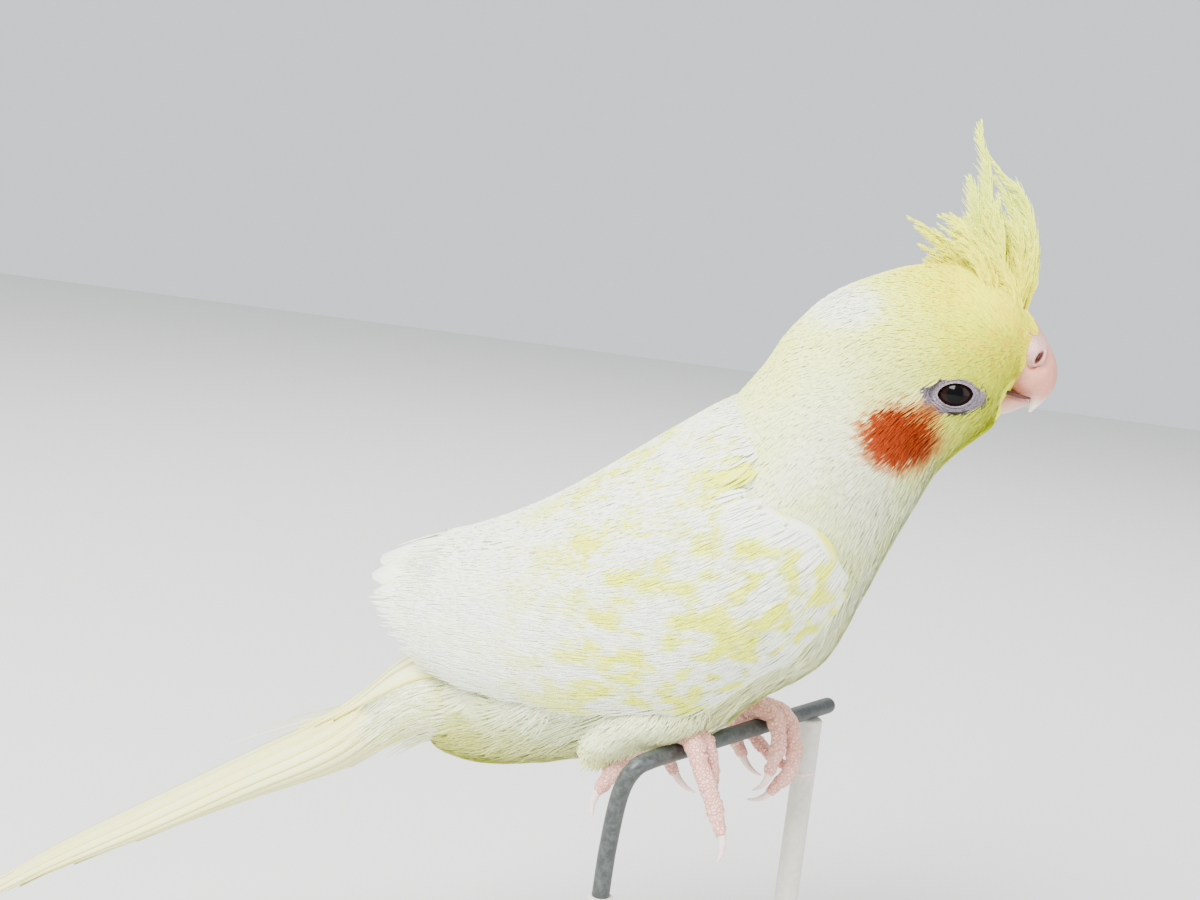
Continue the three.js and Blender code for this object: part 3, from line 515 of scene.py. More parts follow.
@dataclass(frozen=True)
class HornFinish:
    """Keratin horn grown in layers: smooth and satin, with faint growth lines and a pale tip."""

    name: str
    base: str
    tip: str
    tip_z: tuple[float, float]
    line_mm: float = 0.9
    roughness: float = 0.33

    def build(self) -> bpy.types.Material:
        """Fade from the base colour to the tip colour by height, with faint growth lines.

        Returns:
            The material.
        """
        material, tree, shader = new_material(self.name)
        place = add_node(tree, "ShaderNodeTexCoord")
        split = add_node(tree, "ShaderNodeSeparateXYZ", None, {0: place.outputs["Object"]})
        low, high = ((z + PERCH_HEIGHT) * 0.001 for z in self.tip_z)
        fade = add_node(tree, "ShaderNodeMapRange", {"interpolation_type": "SMOOTHSTEP"},
                        {0: split.outputs[2], 1: low, 2: high})
        grain = add_node(tree, "ShaderNodeTexNoise", None,
                         {"Vector": place.outputs["Object"], "Scale": 1000 / self.line_mm,
                          "Detail": 5.0, "Distortion": 0.6})
        blend = add_node(tree, "ShaderNodeMix", {"data_type": "RGBA"},
                         {0: fade.outputs[0], 6: srgb(self.tip), 7: srgb(self.base)})
        shade = add_node(tree, "ShaderNodeMapRange", None,
                         {0: grain.outputs[0], 1: 0.3, 2: 0.7, 3: 0.86, 4: 1.05})
        tinted = add_node(tree, "ShaderNodeVectorMath", {"operation": "SCALE"},
                          {0: blend.outputs[2], "Scale": shade.outputs[0]})
        tree.links.new(tinted.outputs[0], shader.inputs["Base Color"])
        bump = add_node(tree, "ShaderNodeBump", None,
                        {"Strength": 0.2, "Distance": 0.0001, "Height": grain.outputs[0]})
        tree.links.new(bump.outputs[0], shader.inputs["Normal"])
        shader.inputs["Roughness"].default_value = self.roughness
        shader.inputs["Subsurface Weight"].default_value = 0.1
        shader.inputs["Subsurface Radius"].default_value = (0.001, 0.0006, 0.0004)
        return material


@dataclass(frozen=True)
class EyeFinish:
    """A wet dark brown eye under a clear cornea: almost black with sharp small highlights."""

    name: str = "eye_wet_dark_brown"
    pupil_mm: tuple[float, float] = (1.5, 1.75)

    def build(self) -> bpy.types.Material:
        """Mix a black pupil into a dark brown iris by the distance kept in the Vane map.

        Returns:
            The material.
        """
        material, tree, shader = new_material(self.name)
        vane = add_node(tree, "ShaderNodeUVMap", {"uv_map": "Vane"})
        split = add_node(tree, "ShaderNodeSeparateXYZ", None, {0: vane.outputs[0]})
        edge = add_node(tree, "ShaderNodeMapRange", None,
                        {0: split.outputs[1], 1: self.pupil_mm[0], 2: self.pupil_mm[1]})
        streak = add_node(tree, "ShaderNodeTexNoise", {"noise_dimensions": "2D"},
                          {"Vector": vane.outputs[0], "Scale": 3.0, "Detail": 4.0})
        iris = add_node(tree, "ShaderNodeMix", {"data_type": "RGBA"},
                        {0: streak.outputs[0], 6: srgb("#0C0504"), 7: srgb("#1B0C07")})
        whole = add_node(tree, "ShaderNodeMix", {"data_type": "RGBA"},
                         {0: edge.outputs[0], 6: srgb("#040303"), 7: iris.outputs[2]})
        tree.links.new(whole.outputs[2], shader.inputs["Base Color"])
        shader.inputs["Roughness"].default_value = 0.07
        shader.inputs["IOR"].default_value = 1.38
        shader.inputs["Specular IOR Level"].default_value = 0.16
        return material


@dataclass(frozen=True)
class MetalPaintFinish:
    """Stove enamel on steel: an even satin film with dull specks and worn, duller patches."""

    name: str
    fresh: str
    worn: str
    roughness: float
    speck_mm: float = 1.2

    def build(self) -> bpy.types.Material:
        """Blend the fresh and worn colour by two sizes of noise.

        Returns:
            The material.
        """
        material, tree, shader = new_material(self.name)
        place = add_node(tree, "ShaderNodeTexCoord")
        cloud = add_node(tree, "ShaderNodeTexNoise", None,
                         {"Vector": place.outputs["Object"], "Scale": 1000 / self.speck_mm,
                          "Detail": 6.0, "Roughness": 0.62})
        wear = add_node(tree, "ShaderNodeMapRange", None, {0: cloud.outputs[0], 1: 0.42, 2: 0.68})
        blend = add_node(tree, "ShaderNodeMix", {"data_type": "RGBA"},
                         {0: wear.outputs[0], 6: srgb(self.fresh), 7: srgb(self.worn)})
        tree.links.new(blend.outputs[2], shader.inputs["Base Color"])
        matt = add_node(tree, "ShaderNodeMapRange", None,
                        {0: wear.outputs[0], 3: self.roughness, 4: self.roughness + 0.25})
        tree.links.new(matt.outputs[0], shader.inputs["Roughness"])
        bump = add_node(tree, "ShaderNodeBump", None,
                        {"Strength": 0.15, "Distance": 0.0001, "Height": cloud.outputs[0]})
        tree.links.new(bump.outputs[0], shader.inputs["Normal"])
        return material


@dataclass(frozen=True)
class Markings:
    """The bird's colours as functions of place, shared by its skin and its feathers."""

    white: str = "#F5FAEE"
    cream: str = "#EBEDBA"
    yellow: str = "#ECF200"
    mottle: str = "#EEF61C"
    forehead: str = "#F4EC00"
    streak: str = "#F6DC00"
    cheek: str = "#9C3400"
    cheek_rim: str = "#E09038"
    under: str = "#E2E67A"
    grey: str = "#C9CAC4"
    cheek_at: tuple[float, float] = (34.9, 65.8)
    cheek_size: tuple[float, float] = (6.7, 5.5)
    crown_spot: tuple[float, float] = (22.0, 87.0)

    def ground(self, p: np.ndarray) -> np.ndarray:
        """Start from white everywhere."""
        return np.broadcast_to(np.array(srgb(self.white)[:3]), p.shape).copy()

    def body(self, p: np.ndarray) -> np.ndarray:
        """Colour the body: white with a yellow face, an orange ear patch and a pale yellow vent.

        Args:
            p: places in the bird's frame.

        Returns:
            Linear colours.
        """
        x, z = p[..., 0], p[..., 2]
        face = smooth(x + 0.4 * (z - 75), 26, 46) * smooth(z, 52, 64)
        brow = smooth(x + 0.7 * (z - 88), 30, 48) * smooth(z, 74, 84)
        lines = smooth(noise(p * np.array([0.45, 1.0, 1.0]), 1.3, 9), 0.48, 0.72)
        lines = lines * smooth(x + 0.5 * (z - 88), 28, 44) * smooth(z, 76, 84)
        spot = np.hypot((x - self.crown_spot[0]) / 7, (z - self.crown_spot[1]) / 4)
        ripple = (noise(p, 1.6, 8) - 0.5) * 0.32
        reach = np.hypot((x - self.cheek_at[0]) / self.cheek_size[0],
                         (z - self.cheek_at[1]) / self.cheek_size[1]) + ripple
        colour = self.ground(p)
        for shade, amount in (
            (self.cream, 0.5 * smooth(z, 40, 10) * smooth(x, -20, 10)),
            (self.yellow, 0.16 + 0.26 * smooth(noise(p, 6.0, 3), 0.40, 0.8) * smooth(z, 0, 30)),
            (self.yellow, 0.9 * face),
            (self.forehead, brow),
            (self.yellow, 0.10 + 0.45 * smooth(z, 58, 86)),
            (self.streak, 0.75 * lines),
            (self.white, 0.8 * smooth(spot, 1.3, 0.5)),
            (self.grey, 0.45 * smooth(spot, 0.8, 0.3) * smooth(noise(p, 1.2, 5), 0.45, 0.7)),
            (self.under, 0.75 * smooth(x, -14, -40) * smooth(z, 6, -8)),
            (self.under, 0.7 * smooth(z, 4, -8) * smooth(x, 4, -12)),
            (self.cheek_rim, 0.8 * smooth(reach, 1.28, 0.98)),
            (self.cheek, smooth(reach, 1.08, 0.78)),
        ):
            colour = blended(colour, shade, amount)
        return colour

    def wing(self, p: np.ndarray, along: np.ndarray | float = 1.0,
             across: np.ndarray | float = 0.0) -> np.ndarray:
        """Colour a wing feather: white with pale yellow mottles and a few grey flecks.

        Args:
            p: places in the bird's frame.
            along: 0 at the feather's root to 1 at its tip.
            across: -1 to 1 from edge to edge.

        Returns:
            Linear colours.
        """
        blot = smooth(noise(p, 2.8, 21) * 0.6 + noise(p, 1.4, 22) * 0.4, 0.46, 0.62)
        front = 0.15 + 0.85 * smooth(p[..., 0], -42, -12)
        colour = blended(self.ground(p), self.mottle, 0.05 + 0.9 * blot * smooth(along, 0.15, 0.5) * front)
        fleck = smooth(noise(p, 1.9, 31), 0.66, 0.86) * smooth(p[..., 0], -12, 14)
        edge = smooth(np.abs(across), 0.75, 1.0)
        return blended(colour, self.grey, 0.34 * fleck) * (1 - 0.05 * edge)[..., None]


MARKS = Markings()


class Tip(Enum):
    """How a feather ends: where its end begins, the power of its curve and its least width."""

    ROUND = (0.62, 0.5, 0.10)
    CUT = (0.93, 0.3, 0.74)

    def width(self, s: np.ndarray) -> np.ndarray:
        """Give a feather's half width as a share of its widest.

        It opens from a third at the root, then closes as a part of an ellipse at its end.

        Args:
            s: 0 at the root to 1 at the tip.

        Returns:
            Shares from 0 to 1.
        """
        start, power, least = self.value
        q = np.clip((s - start) / (1 - start), 0, 1)
        closing = np.maximum(1 - q * q, 0.0) ** power
        return (0.34 + 0.66 * smooth(s, 0.0, 0.38)) * np.maximum(closing, least)


def inside(outline: np.ndarray, x: np.ndarray, z: np.ndarray) -> np.ndarray:
    """Test points against a closed outline by counting the sides that a ray crosses.

    Args:
        outline: corners as x and z.
        x: distance forward.
        z: height.

    Returns:
        True inside.
    """
    x0, z0 = outline[:, 0], outline[:, 1]
    x1, z1 = np.roll(x0, -1), np.roll(z0, -1)
    px, pz = np.asarray(x)[..., None], np.asarray(z)[..., None]
    crosses = (z0 > pz) != (z1 > pz)
    at = x0 + (pz - z0) * (x1 - x0) / np.where(z1 == z0, 1e-9, z1 - z0)
    return (crosses & (px < at)).sum(-1) % 2 == 1


@dataclass
class Tufts:
    """Small loose feathers: each a fan of thin barbs from one root that lies along the coat."""

    place: Place
    barbs: int = 7
    fan: float = 0.40
    barb_half: float = 0.2
    spread: float = 0.5
    cuts: tuple[float, ...] = (0.0, 0.42, 0.78, 1.0)
    taper: tuple[float, ...] = (0.7, 1.0, 0.72, 0.1)
    limits: tuple[float, float] = (0.9, 0.6)

    def frames(self, t: np.ndarray, angle: np.ndarray, way: np.ndarray) -> list[Grid]:
        """Tell how far the two surface numbers move for a millimetre ahead and one aside.

        The way is flattened on the tangent plane of the two slopes, and the two by two
        system of their dot products is solved for it and for the direction square to it.

        Args:
            t: first surface number of each root.
            angle: second surface number of each root.
            way: wanted direction of each feather.

        Returns:
            The pair for ahead and the pair for aside.
        """
        e = 0.03
        one = (self.place(t + e, angle, 0.0) - self.place(t - e, angle, 0.0)) / (2 * e)
        two = (self.place(t, angle + e, 0.0) - self.place(t, angle - e, 0.0)) / (2 * e)
        normal = unit(np.cross(one, two))
        ahead = unit(way - normal * (way * normal).sum(-1, keepdims=True))
        a, b, c = (one * one).sum(-1), (one * two).sum(-1), (two * two).sum(-1)
        det = np.maximum(a * c - b * b, 1e-2)
        pairs = []
        for d in (ahead, np.cross(normal, ahead)):
            p, q = (d * one).sum(-1), (d * two).sum(-1)
            pairs.append(tuple(np.clip(value / det, -limit, limit) for value, limit
                               in zip((c * p - b * q, a * q - b * p), self.limits)))
        return pairs

    def lay(self, t: np.ndarray, angle: np.ndarray, way: np.ndarray, length: np.ndarray,
            lifts: tuple[float, float], rng: np.random.Generator, ruffle: float = 0.10,
            side: int = 1) -> Laid:
        """Lay a tuft from each root.

        A barb runs from the root at its share of the fan's angle and curves back to the
        lie; its two edges stand half its width apart, and it rises from lifts[0] to lifts[1].

        Args:
            t: first surface number of each root.
            angle: second surface number of each root.
            way: direction of each feather.
            length: lengths in millimetres.
            lifts: lift at root and tip in millimetres.
            rng: source of the small variations.
            ruffle: how far, in radians, tufts stray from the lie.
            side: -1 mirrors the result to the right.

        Returns:
            Arrays of points, vane and bake maps, the roots and each barb's own shade.
        """
        count, m = len(t), self.barbs
        v = np.linspace(-1, 1, m)[None, :, None, None]
        s = np.array(self.cuts)[None, None, :, None]
        width = np.array(self.taper)[None, None, :, None] * np.array([-1.0, 1.0]) * self.barb_half
        size = (np.asarray(length) * rng.uniform(0.85, 1.15, count))[:, None, None, None]
        one = (count, m, 1, 1)
        yaw = rng.normal(0, ruffle, (count, 1, 1, 1)) + v * self.fan + rng.normal(0, 0.06, one)
        bend = yaw * (1 - 0.4 * s)
        reach = size * (1 - 0.30 * v * v) * rng.uniform(0.82, 1.06, one)
        a = size * rng.uniform(-0.10, 0.10, one) + reach * s * np.cos(bend) - width * np.sin(bend)
        b = v * self.spread + reach * s * np.sin(bend) + width * np.cos(bend)
        lift = lifts[0] + (lifts[1] - lifts[0]) * s ** 0.8 + rng.normal(0, 0.03, one)
        lift = lift + 0.06 * (1 - v * v) * s + 0.03 * np.array([-1.0, 1.0])
        (ta, aa), (tb, ab) = (tuple(q[:, None, None, None] for q in pair)
                              for pair in self.frames(t, angle, way))
        tt = t[:, None, None, None] + a * ta + b * tb
        turn = angle[:, None, None, None] + a * aa + b * ab
        vane = stacked(width, reach * s)
        patch = PATCH * stacked(0.5 * v + 0 * width, s - 0.5)
        return {"points": mirrored(self.place(tt, turn, lift), side),
                "roots": mirrored(self.place(t, angle, 0.0), side), "vane": vane,
                "patch": np.broadcast_to(patch, vane.shape), "shade": rng.uniform(0.96, 1.03, one),
                "t": t, "angle": angle}

    def piece(self, name: str, laid: Laid, colour: np.ndarray, rows: float,
              finish: bpy.types.Material, slot: str = "plumage", flip: bool = False) -> None:
        """Join laid tufts into one piece.

        Args:
            name: its name.
            laid: what lay gave.
            colour: linear colours, one for each root or one for each point.
            rows: the greatest first surface number, which spans the bake map.
            finish: its material.
            slot: passed on, but not used.
            flip: turn the faces over.
        """
        shape = laid["points"].shape
        root = np.stack([(0.5 + laid["angle"] / TURN) % 1.0, 0.02 + 0.96 * laid["t"] / rows], -1)
        colour = colour if colour.ndim == 5 else colour[:, None, None, None, :]
        tint = np.broadcast_to(colour * laid["shade"][..., None], shape)
        quads = grid_faces(shape[0] * shape[1], shape[2], 2, flip=flip)
        bake = root[:, None, None, None, :] + laid["patch"]
        dress(make_piece(name, laid["points"], quads, tint, laid["vane"], bake), finish, slot)


def staggered(surface: Sections, rows: tuple[float, float], angles: tuple[float, float],
              spacing: Callable[[np.ndarray], np.ndarray | float], rng: np.random.Generator) -> Grid:
    """Set feather roots in staggered rows, as real ones grow, with a little stray.

    Args:
        surface: what they grow on.
        rows: the first and last place along the rows.
        angles: the first and last angle.
        spacing: the distance between roots at a place along, in millimetres.
        rng: source of the stray.

    Returns:
        Places along the rows and angles.
    """
    found_t, found_a = [], []
    t, ring = rows[0], 0
    probe = np.linspace(*angles, 49)
    while t < rows[1]:
        step, radian = surface.steps(np.full(49, t), probe)
        gap = float(spacing(t))
        density = np.concatenate([[0], np.cumsum((radian / gap)[:-1] * np.diff(probe))])
        count = int(density[-1])
        if count > 0:
            want = (np.arange(count) + 0.5 * (ring % 2) + 0.25) / count * density[-1]
            stray = rng.normal(0, 0.10, count) * np.median(gap / radian)
            found_a.append(np.interp(want, density, probe) + stray)
            found_t.append(t + rng.normal(0, 0.16, count) * np.median(gap / step))
        t += float(np.median(gap / step)) * 0.86
        ring += 1
    return np.concatenate(found_t), np.concatenate(found_a)


def closed_loft(surface: Sections, along: int, around: int, lift: float,
                shape: Callable[[np.ndarray], np.ndarray] | None = None,
                ends: tuple[float, float] = (1.0, 1.0)) -> Grid:
    """Close a body of sections into a skin whose poles are shrunken rings.

    Args:
        surface: the sections.
        along: rings along it.
        around: points round each ring.
        lift: distance out from the surface.
        shape: moves the points afterwards.
        ends: how far the rounded ends stand out, in millimetres.

    Returns:
        Points and quads.
    """
    t = np.linspace(0, len(surface.rows) - 1.0, along)
    angle = np.linspace(0, TURN, around, endpoint=False)
    body = surface.points(t[:, None], angle[None, :], lift)

    def cap(ring: np.ndarray, inner: np.ndarray, reach: float) -> np.ndarray:
        """Round an end off: rings shrink as a cosine while they move out as a sine."""
        middle = ring.mean(0)
        out = unit(middle - inner.mean(0)) * reach
        q = np.linspace(0, TOP, 6)[1:, None, None]
        return middle + (ring - middle) * np.maximum(np.cos(q), 0.004) + out * np.sin(q)

    grid = np.concatenate([cap(body[0], body[1], ends[0] + lift)[::-1], body,
                           cap(body[-1], body[-2], ends[1] + lift)])
    if shape is not None:
        grid = shape(grid)
    k = np.arange(around - 2)
    top = (len(grid) - 1) * around
    first = np.stack([0 * k, around - 1 - k, around - 2 - k, around - 2 - k], -1)
    last = np.stack([top + 0 * k, top + k + 1, top + k + 2, top + k + 2], -1)
    return grid, np.concatenate([grid_faces(1, len(grid), around, round_it=True), first, last])


def tube(line: np.ndarray, around: int, swell: np.ndarray | float = 1.0,
         along: int = 40) -> tuple[np.ndarray, np.ndarray, np.ndarray]:
    """Carry a circle along a smooth line of points with radii, with rounded ends.

    Args:
        line: rows of x, y, z and radius.
        around: points round the circle.
        swell: factors on the radius along the line.
        along: rings along it.

    Returns:
        Points, quads and each point's place along the line from 0 to 1.
    """
    row = spline(line, np.linspace(0, len(line) - 1.0, along))
    way = unit(np.gradient(row[:, :3], axis=0))
    start = np.array([0.0, 0, 1]) if abs(way[0, 2]) < 0.9 else np.array([0.0, 1, 0])
    side = np.zeros_like(way)
    current = unit(np.cross(way[0], start))
    for i, d in enumerate(way):
        current = unit(current - d * np.dot(current, d))
        side[i] = current
    up = np.cross(side, way)
    radius = np.maximum(row[:, 3], 0.05) * swell
    angle = np.linspace(0, TURN, around, endpoint=False)
    ring = side[:, None] * np.cos(angle)[None, :, None] + up[:, None] * np.sin(angle)[None, :, None]
    q = np.linspace(0, TOP, 5)[1:, None, None]

    def cap(i: int, out: np.ndarray) -> np.ndarray:
        """Close an end as a half ball."""
        return row[i, :3] + ring[i] * radius[i] * np.maximum(np.cos(q), 0.004) + out * radius[i] * np.sin(q)

    body = row[:, None, :3] + ring * radius[:, None, None]
    grid = np.concatenate([cap(0, -way[0])[::-1], body, cap(-1, way[-1])])
    place = np.concatenate([np.zeros(4), np.linspace(0, 1, along), np.ones(4)])
    quads = grid_faces(1, len(grid), around, round_it=True, flip=True)
    return grid.reshape(-1, 3), quads, np.repeat(place, around)


def closed_plates(top: np.ndarray, low: np.ndarray, flip: bool = False) -> Grid:
    """Close each pair of a top and an under grid with a rim.

    Args:
        top: upper grids, one for each plate, rows by columns.
        low: under grids of the same shape.
        flip: turn the faces over.

    Returns:
        Points and quads.
    """
    count, rows, cols = top.shape[:3]
    size = rows * cols
    over = grid_faces(1, rows, cols)
    edge = np.concatenate([np.arange(cols), np.arange(1, rows) * cols + cols - 1,
                           (rows - 1) * cols + np.arange(cols - 2, -1, -1),
                           np.arange(rows - 2, 0, -1) * cols])
    after = np.roll(edge, -1)
    rim = np.stack([after, edge, edge + size, after + size], -1)
    one = np.concatenate([over, over[:, ::-1] + size, rim])
    if flip:
        one = one[:, ::-1]
    quads = (one[None] + np.arange(count)[:, None, None] * 2 * size).reshape(-1, 4)
    return np.stack([top, low], 1).reshape(-1, 3), quads


def joined(parts: Sequence[Grid]) -> Grid:
    """Join lists of points and quads into one of each."""
    starts = np.cumsum([0] + [len(p.reshape(-1, 3)) for p, _ in parts])
    return (np.concatenate([p.reshape(-1, 3) for p, _ in parts]),
            np.concatenate([q + start for (_, q), start in zip(parts, starts)]))


def vane_plates(name: str, groups: Sequence[Laid], tint: Callable[..., np.ndarray], flip: bool,
                finish: bpy.types.Material, slot: str, node: str) -> None:
    """Join laid flight feathers into one piece, each face with a cell of its own to bake in.

    Args:
        name: its name.
        groups: the feathers' grids.
        tint: gives the colours from places, shares along and shares across.
        flip: turn the faces over.
        finish: its material.
        slot: passed on, but not used.
        node: the node that it replaces.
    """
    laid = {key: np.concatenate([g[key] for g in groups]) for key in groups[0]}
    points, quads = closed_plates(laid["top"], laid["low"], flip)
    s, v, vane = (np.repeat(laid[key][:, None], 2, 1) for key in ("s", "v", "vane"))
    cells = math.ceil(math.sqrt(2 * len(s)))
    k = np.arange(2 * len(s)).reshape(-1, 2)
    corner = np.stack([k % cells, k // cells], -1)[:, :, None, None, :]
    bake = (corner + np.stack([v * 0.44 + 0.5, s * 0.9 + 0.05], -1)) / cells
    colour = tint(points.reshape(*s.shape, 3), s, v)
    dress(make_piece(name, points, quads, colour, vane, bake), finish, slot, node)


def down_bed(name: str, top: np.ndarray, low: np.ndarray, flip: bool, tint: Place, bake: np.ndarray,
             finish: bpy.types.Material, slot: str, aside: float = 0.0) -> None:
    """Close a thin bed of down that lies under feathers.

    Args:
        name: its name.
        top: its upper grid.
        low: its under grid.
        flip: turn the faces over.
        tint: gives the colours from places.
        bake: the bake map of its upper face.
        finish: its material.
        slot: passed on, but not used.
        aside: how far beside that the under face's map lies.
    """
    points, quads = closed_plates(top[None], low[None], flip)
    both = np.stack([bake, bake + [aside, 0]])
    dress(make_piece(name, points, quads, tint(points), points[:, [1, 0]], both), finish, slot)


@dataclass
class Flesh:
    """The one skin under the coat, with a socket for each eye."""

    depth: float = 1.0
    thigh_depth: float = 1.5
    eye_at: tuple[float, float, float] = (41.2, 11.3, 72.9)
    eye_r: float = 4.0
    socket: tuple[float, float, float] = (4.6, 3.2, 5.0)

    def sink_eyes(self, grid: np.ndarray) -> np.ndarray:
        """Press a socket in round each eye: depth falls off as a bell curve of the distance."""
        x, y, z = grid[..., 0], grid[..., 1], grid[..., 2]
        reach = np.hypot((x - self.eye_at[0]) / self.socket[0], (z - self.eye_at[2]) / self.socket[1])
        press = np.minimum(self.socket[2] * np.exp(-reach ** 4), np.abs(y)) * (np.abs(y) > 4)
        return np.stack([x, y - np.sign(y) * press, z], -1)

    def build(self, finish: bpy.types.Material) -> None:
        """Make the skin of torso, neck, head and both thighs as one piece.

        Args:
            finish: its material.
        """
        parts = [closed_loft(BODY, 150, 96, -self.depth, self.sink_eyes)]
        points, quads = closed_loft(Sections(THIGH_ROWS[:4]), 24, 32, -self.thigh_depth)
        for side, _ in SIDES:
            parts.append((mirrored(points, side), quads[:, ::side]))
        points, quads = joined(parts)
        middle = BODY.points(10.0, 0.0)
        turn = np.arctan2(points[:, 2] - middle[2], points[:, 1]) / TURN + 0.5
        bake = np.stack([turn, (points[:, 0] + 60) / 130], -1)
        # The skin's colours are darkened a little: painted shade under the coat.
        tint = MARKS.body(points) * DOWN_SHADE
        dress(make_piece("skin", points, quads, tint, points[:, [1, 0]], bake), finish,
              "plumage", "torso", "neck", "head", "thigh_left", "thigh_right")


@dataclass
class Coat:
    """The small feathers of head, neck, breast, back, belly and thighs.

    A band holds its first and last row, barbs, barb half width and root spread.
    """

    bands: dict = field(default_factory=lambda: {
        "trunk": (0.2, 8.4, 9, 0.28, 0.9), "neck": (8.4, 12.2, 8, 0.24, 0.7),
        "head": (12.2, 20.7, 6, 0.17, 0.36)})
    eye_clear: tuple[float, float, float, float] = (41.5, 72.8, 5.6, 3.3)
    thigh_gap: float = 1.7
    vent_count: int = 420
    saddle_gap: float = 1.9
    saddle_half: float = 1.2
    lores_count: int = 620
    rng: np.random.Generator = field(default_factory=lambda: np.random.default_rng(SEED))

    @staticmethod
    def spacing(t: float) -> float:
        """Distance between roots: 2.1 mm on the trunk falling to 0.85 mm on the face."""
        return 2.1 - 0.5 * smooth(t, 7, 10) - 0.35 * smooth(t, 11, 13) - 0.40 * smooth(t, 13, 16)

    @staticmethod
    def length(t: np.ndarray) -> np.ndarray:
        """Feather length: 11 mm under the tail, 7.5 mm on the trunk, 2.7 mm on the face."""
        return 7.5 + 3.5 * smooth(t, 4, 0.5) - 2.0 * smooth(t, 8, 11) - 2.8 * smooth(t, 11.5, 16.0)

    @staticmethod
    def lie(p: np.ndarray, t: np.ndarray, down_body: np.ndarray) -> np.ndarray:
        """Blend the directions in which the feathers lie.

        They run down the body on the trunk, back and down on the neck, straight back on
        the face, and up and back on the forehead, where they rise into the crest.

        Args:
            p: roots.
            t: their places along the body.
            down_body: the direction down the body at each.

        Returns:
            Directions.
        """
        x, z = p[..., 0], p[..., 2]
        rising = smooth(x + 0.6 * (z - 86), 41, 50) * smooth(z, 79, 87)
        way = down_body
        for aim, amount in (((-0.85, 0.0, -0.5), smooth(t, 8.5, 11.5) * smooth(x, 44, 30)),
                            ((-1.0, 0.0, -0.14), smooth(t, 12.5, 16.0)),
                            ((-0.6, 0.0, 0.8), rising)):
            way = between(way, unit(np.array(aim)), amount[..., None])
        return unit(way)

    def clear(self, p: np.ndarray, reach: float) -> np.ndarray:
        """Keep off the bare eye ring, and off the mouth and bill.

        Args:
            p: places of roots or tips.
            reach: size of the bare ring against its full size.

        Returns:
            True where a feather may be.
        """
        x, y, z = p[..., 0], np.abs(p[..., 1]), p[..., 2]
        at_x, at_z, long, tall = self.eye_clear
        eye = np.hypot((x - at_x) / (long * reach), (z - at_z) / (tall * reach)) > 1
        edge = np.interp(z, LORES_EDGE[::-1, 1], LORES_EDGE[::-1, 0])
        bill = ~((x > edge - 0.2) & (y < 7.5) & (z < 88.5) & (z > 68.8))
        return (eye | (y < 6)) & bill

    def band(self, name: str, start: float, sizes: tuple, finish: bpy.types.Material) -> None:
        """Lay one band's tufts over a half turn, leaving out those under the wing.

        Args:
            name: the piece's name.
            start: the first angle.
            sizes: the band's numbers.
            finish: its material.
        """
        low, high, barbs, half, spread = sizes
        middle = WING_OUTLINE.mean(0)
        t, angle = staggered(BODY, (low, high), (start, start + math.pi), self.spacing, self.rng)
        roots = BODY.points(t, angle)
        hidden = inside(between(middle, WING_OUTLINE, 0.86), roots[:, 0], roots[:, 2])
        keep = self.clear(roots, 1.0) & ~(hidden & (np.abs(roots[:, 1]) > 5))
        t, angle, roots = t[keep], angle[keep], roots[keep]
        way = self.lie(roots, t, BODY.down(t, angle))
        length = self.length(t) + 3.0 * smooth(roots[:, 0], 40, 46) * smooth(roots[:, 2], 83, 88)
        tips = roots + way * length[:, None] * 0.8
        length = np.where(self.clear(tips, 0.95), length, length * 0.45)
        tufts = Tufts(BODY.points, barbs, 0.40, half, spread)
        laid = tufts.lay(t, angle, way, length, (-0.85, 0.22), self.rng)
        tufts.piece(name, laid, MARKS.body(laid["roots"]), 20.0, finish)

    def thighs(self, finish: bpy.types.Material) -> None:
        """Lay the loose thigh plumes down to the feet, and the longer ones under the belly.

        Args:
            finish: its material.
        """
        thigh = Sections(THIGH_ROWS)
        for side, label in SIDES:
            t, angle = staggered(thigh, (0.1, 3.3), (0, TURN), lambda _: self.thigh_gap, self.rng)
            tufts = Tufts(thigh.points, 11, 0.55, 0.17, 0.9)
            length = (7.6 - 1.0 * t) * self.rng.uniform(0.6, 1.25, len(t))
            laid = tufts.lay(t, angle, -thigh.down(t, angle), length, (-0.9, 1.5), self.rng, 0.22, side)
            tufts.piece(f"coat_thigh_{label}", laid, MARKS.body(laid["roots"]), 4.0, finish, flip=side > 0)
        count = self.vent_count
        t = self.rng.uniform(1.1, 6.8, count)
        angle = -TOP + self.rng.normal(0, 0.62, count)
        way = unit(BODY.down(t, angle) + np.array([-0.3, 0.0, -0.35]))
        tufts = Tufts(BODY.points, 15, 0.42, 0.20, 1.6)
        laid = tufts.lay(t, angle, way, self.rng.uniform(7, 12, count), (-0.6, 1.3), self.rng, 0.25)
        tufts.piece("coat_vent", laid, MARKS.body(laid["roots"]), 20.0, finish)

    @staticmethod
    def sunk(t: np.ndarray, angle: np.ndarray, lift: np.ndarray | float = 0.0) -> np.ndarray:
        """Place points over the back, sinking under the neck's feathers at the front."""
        return MANTLE.points(t, angle, lift - 3.6 * smooth(t, 7.2, 9.8))

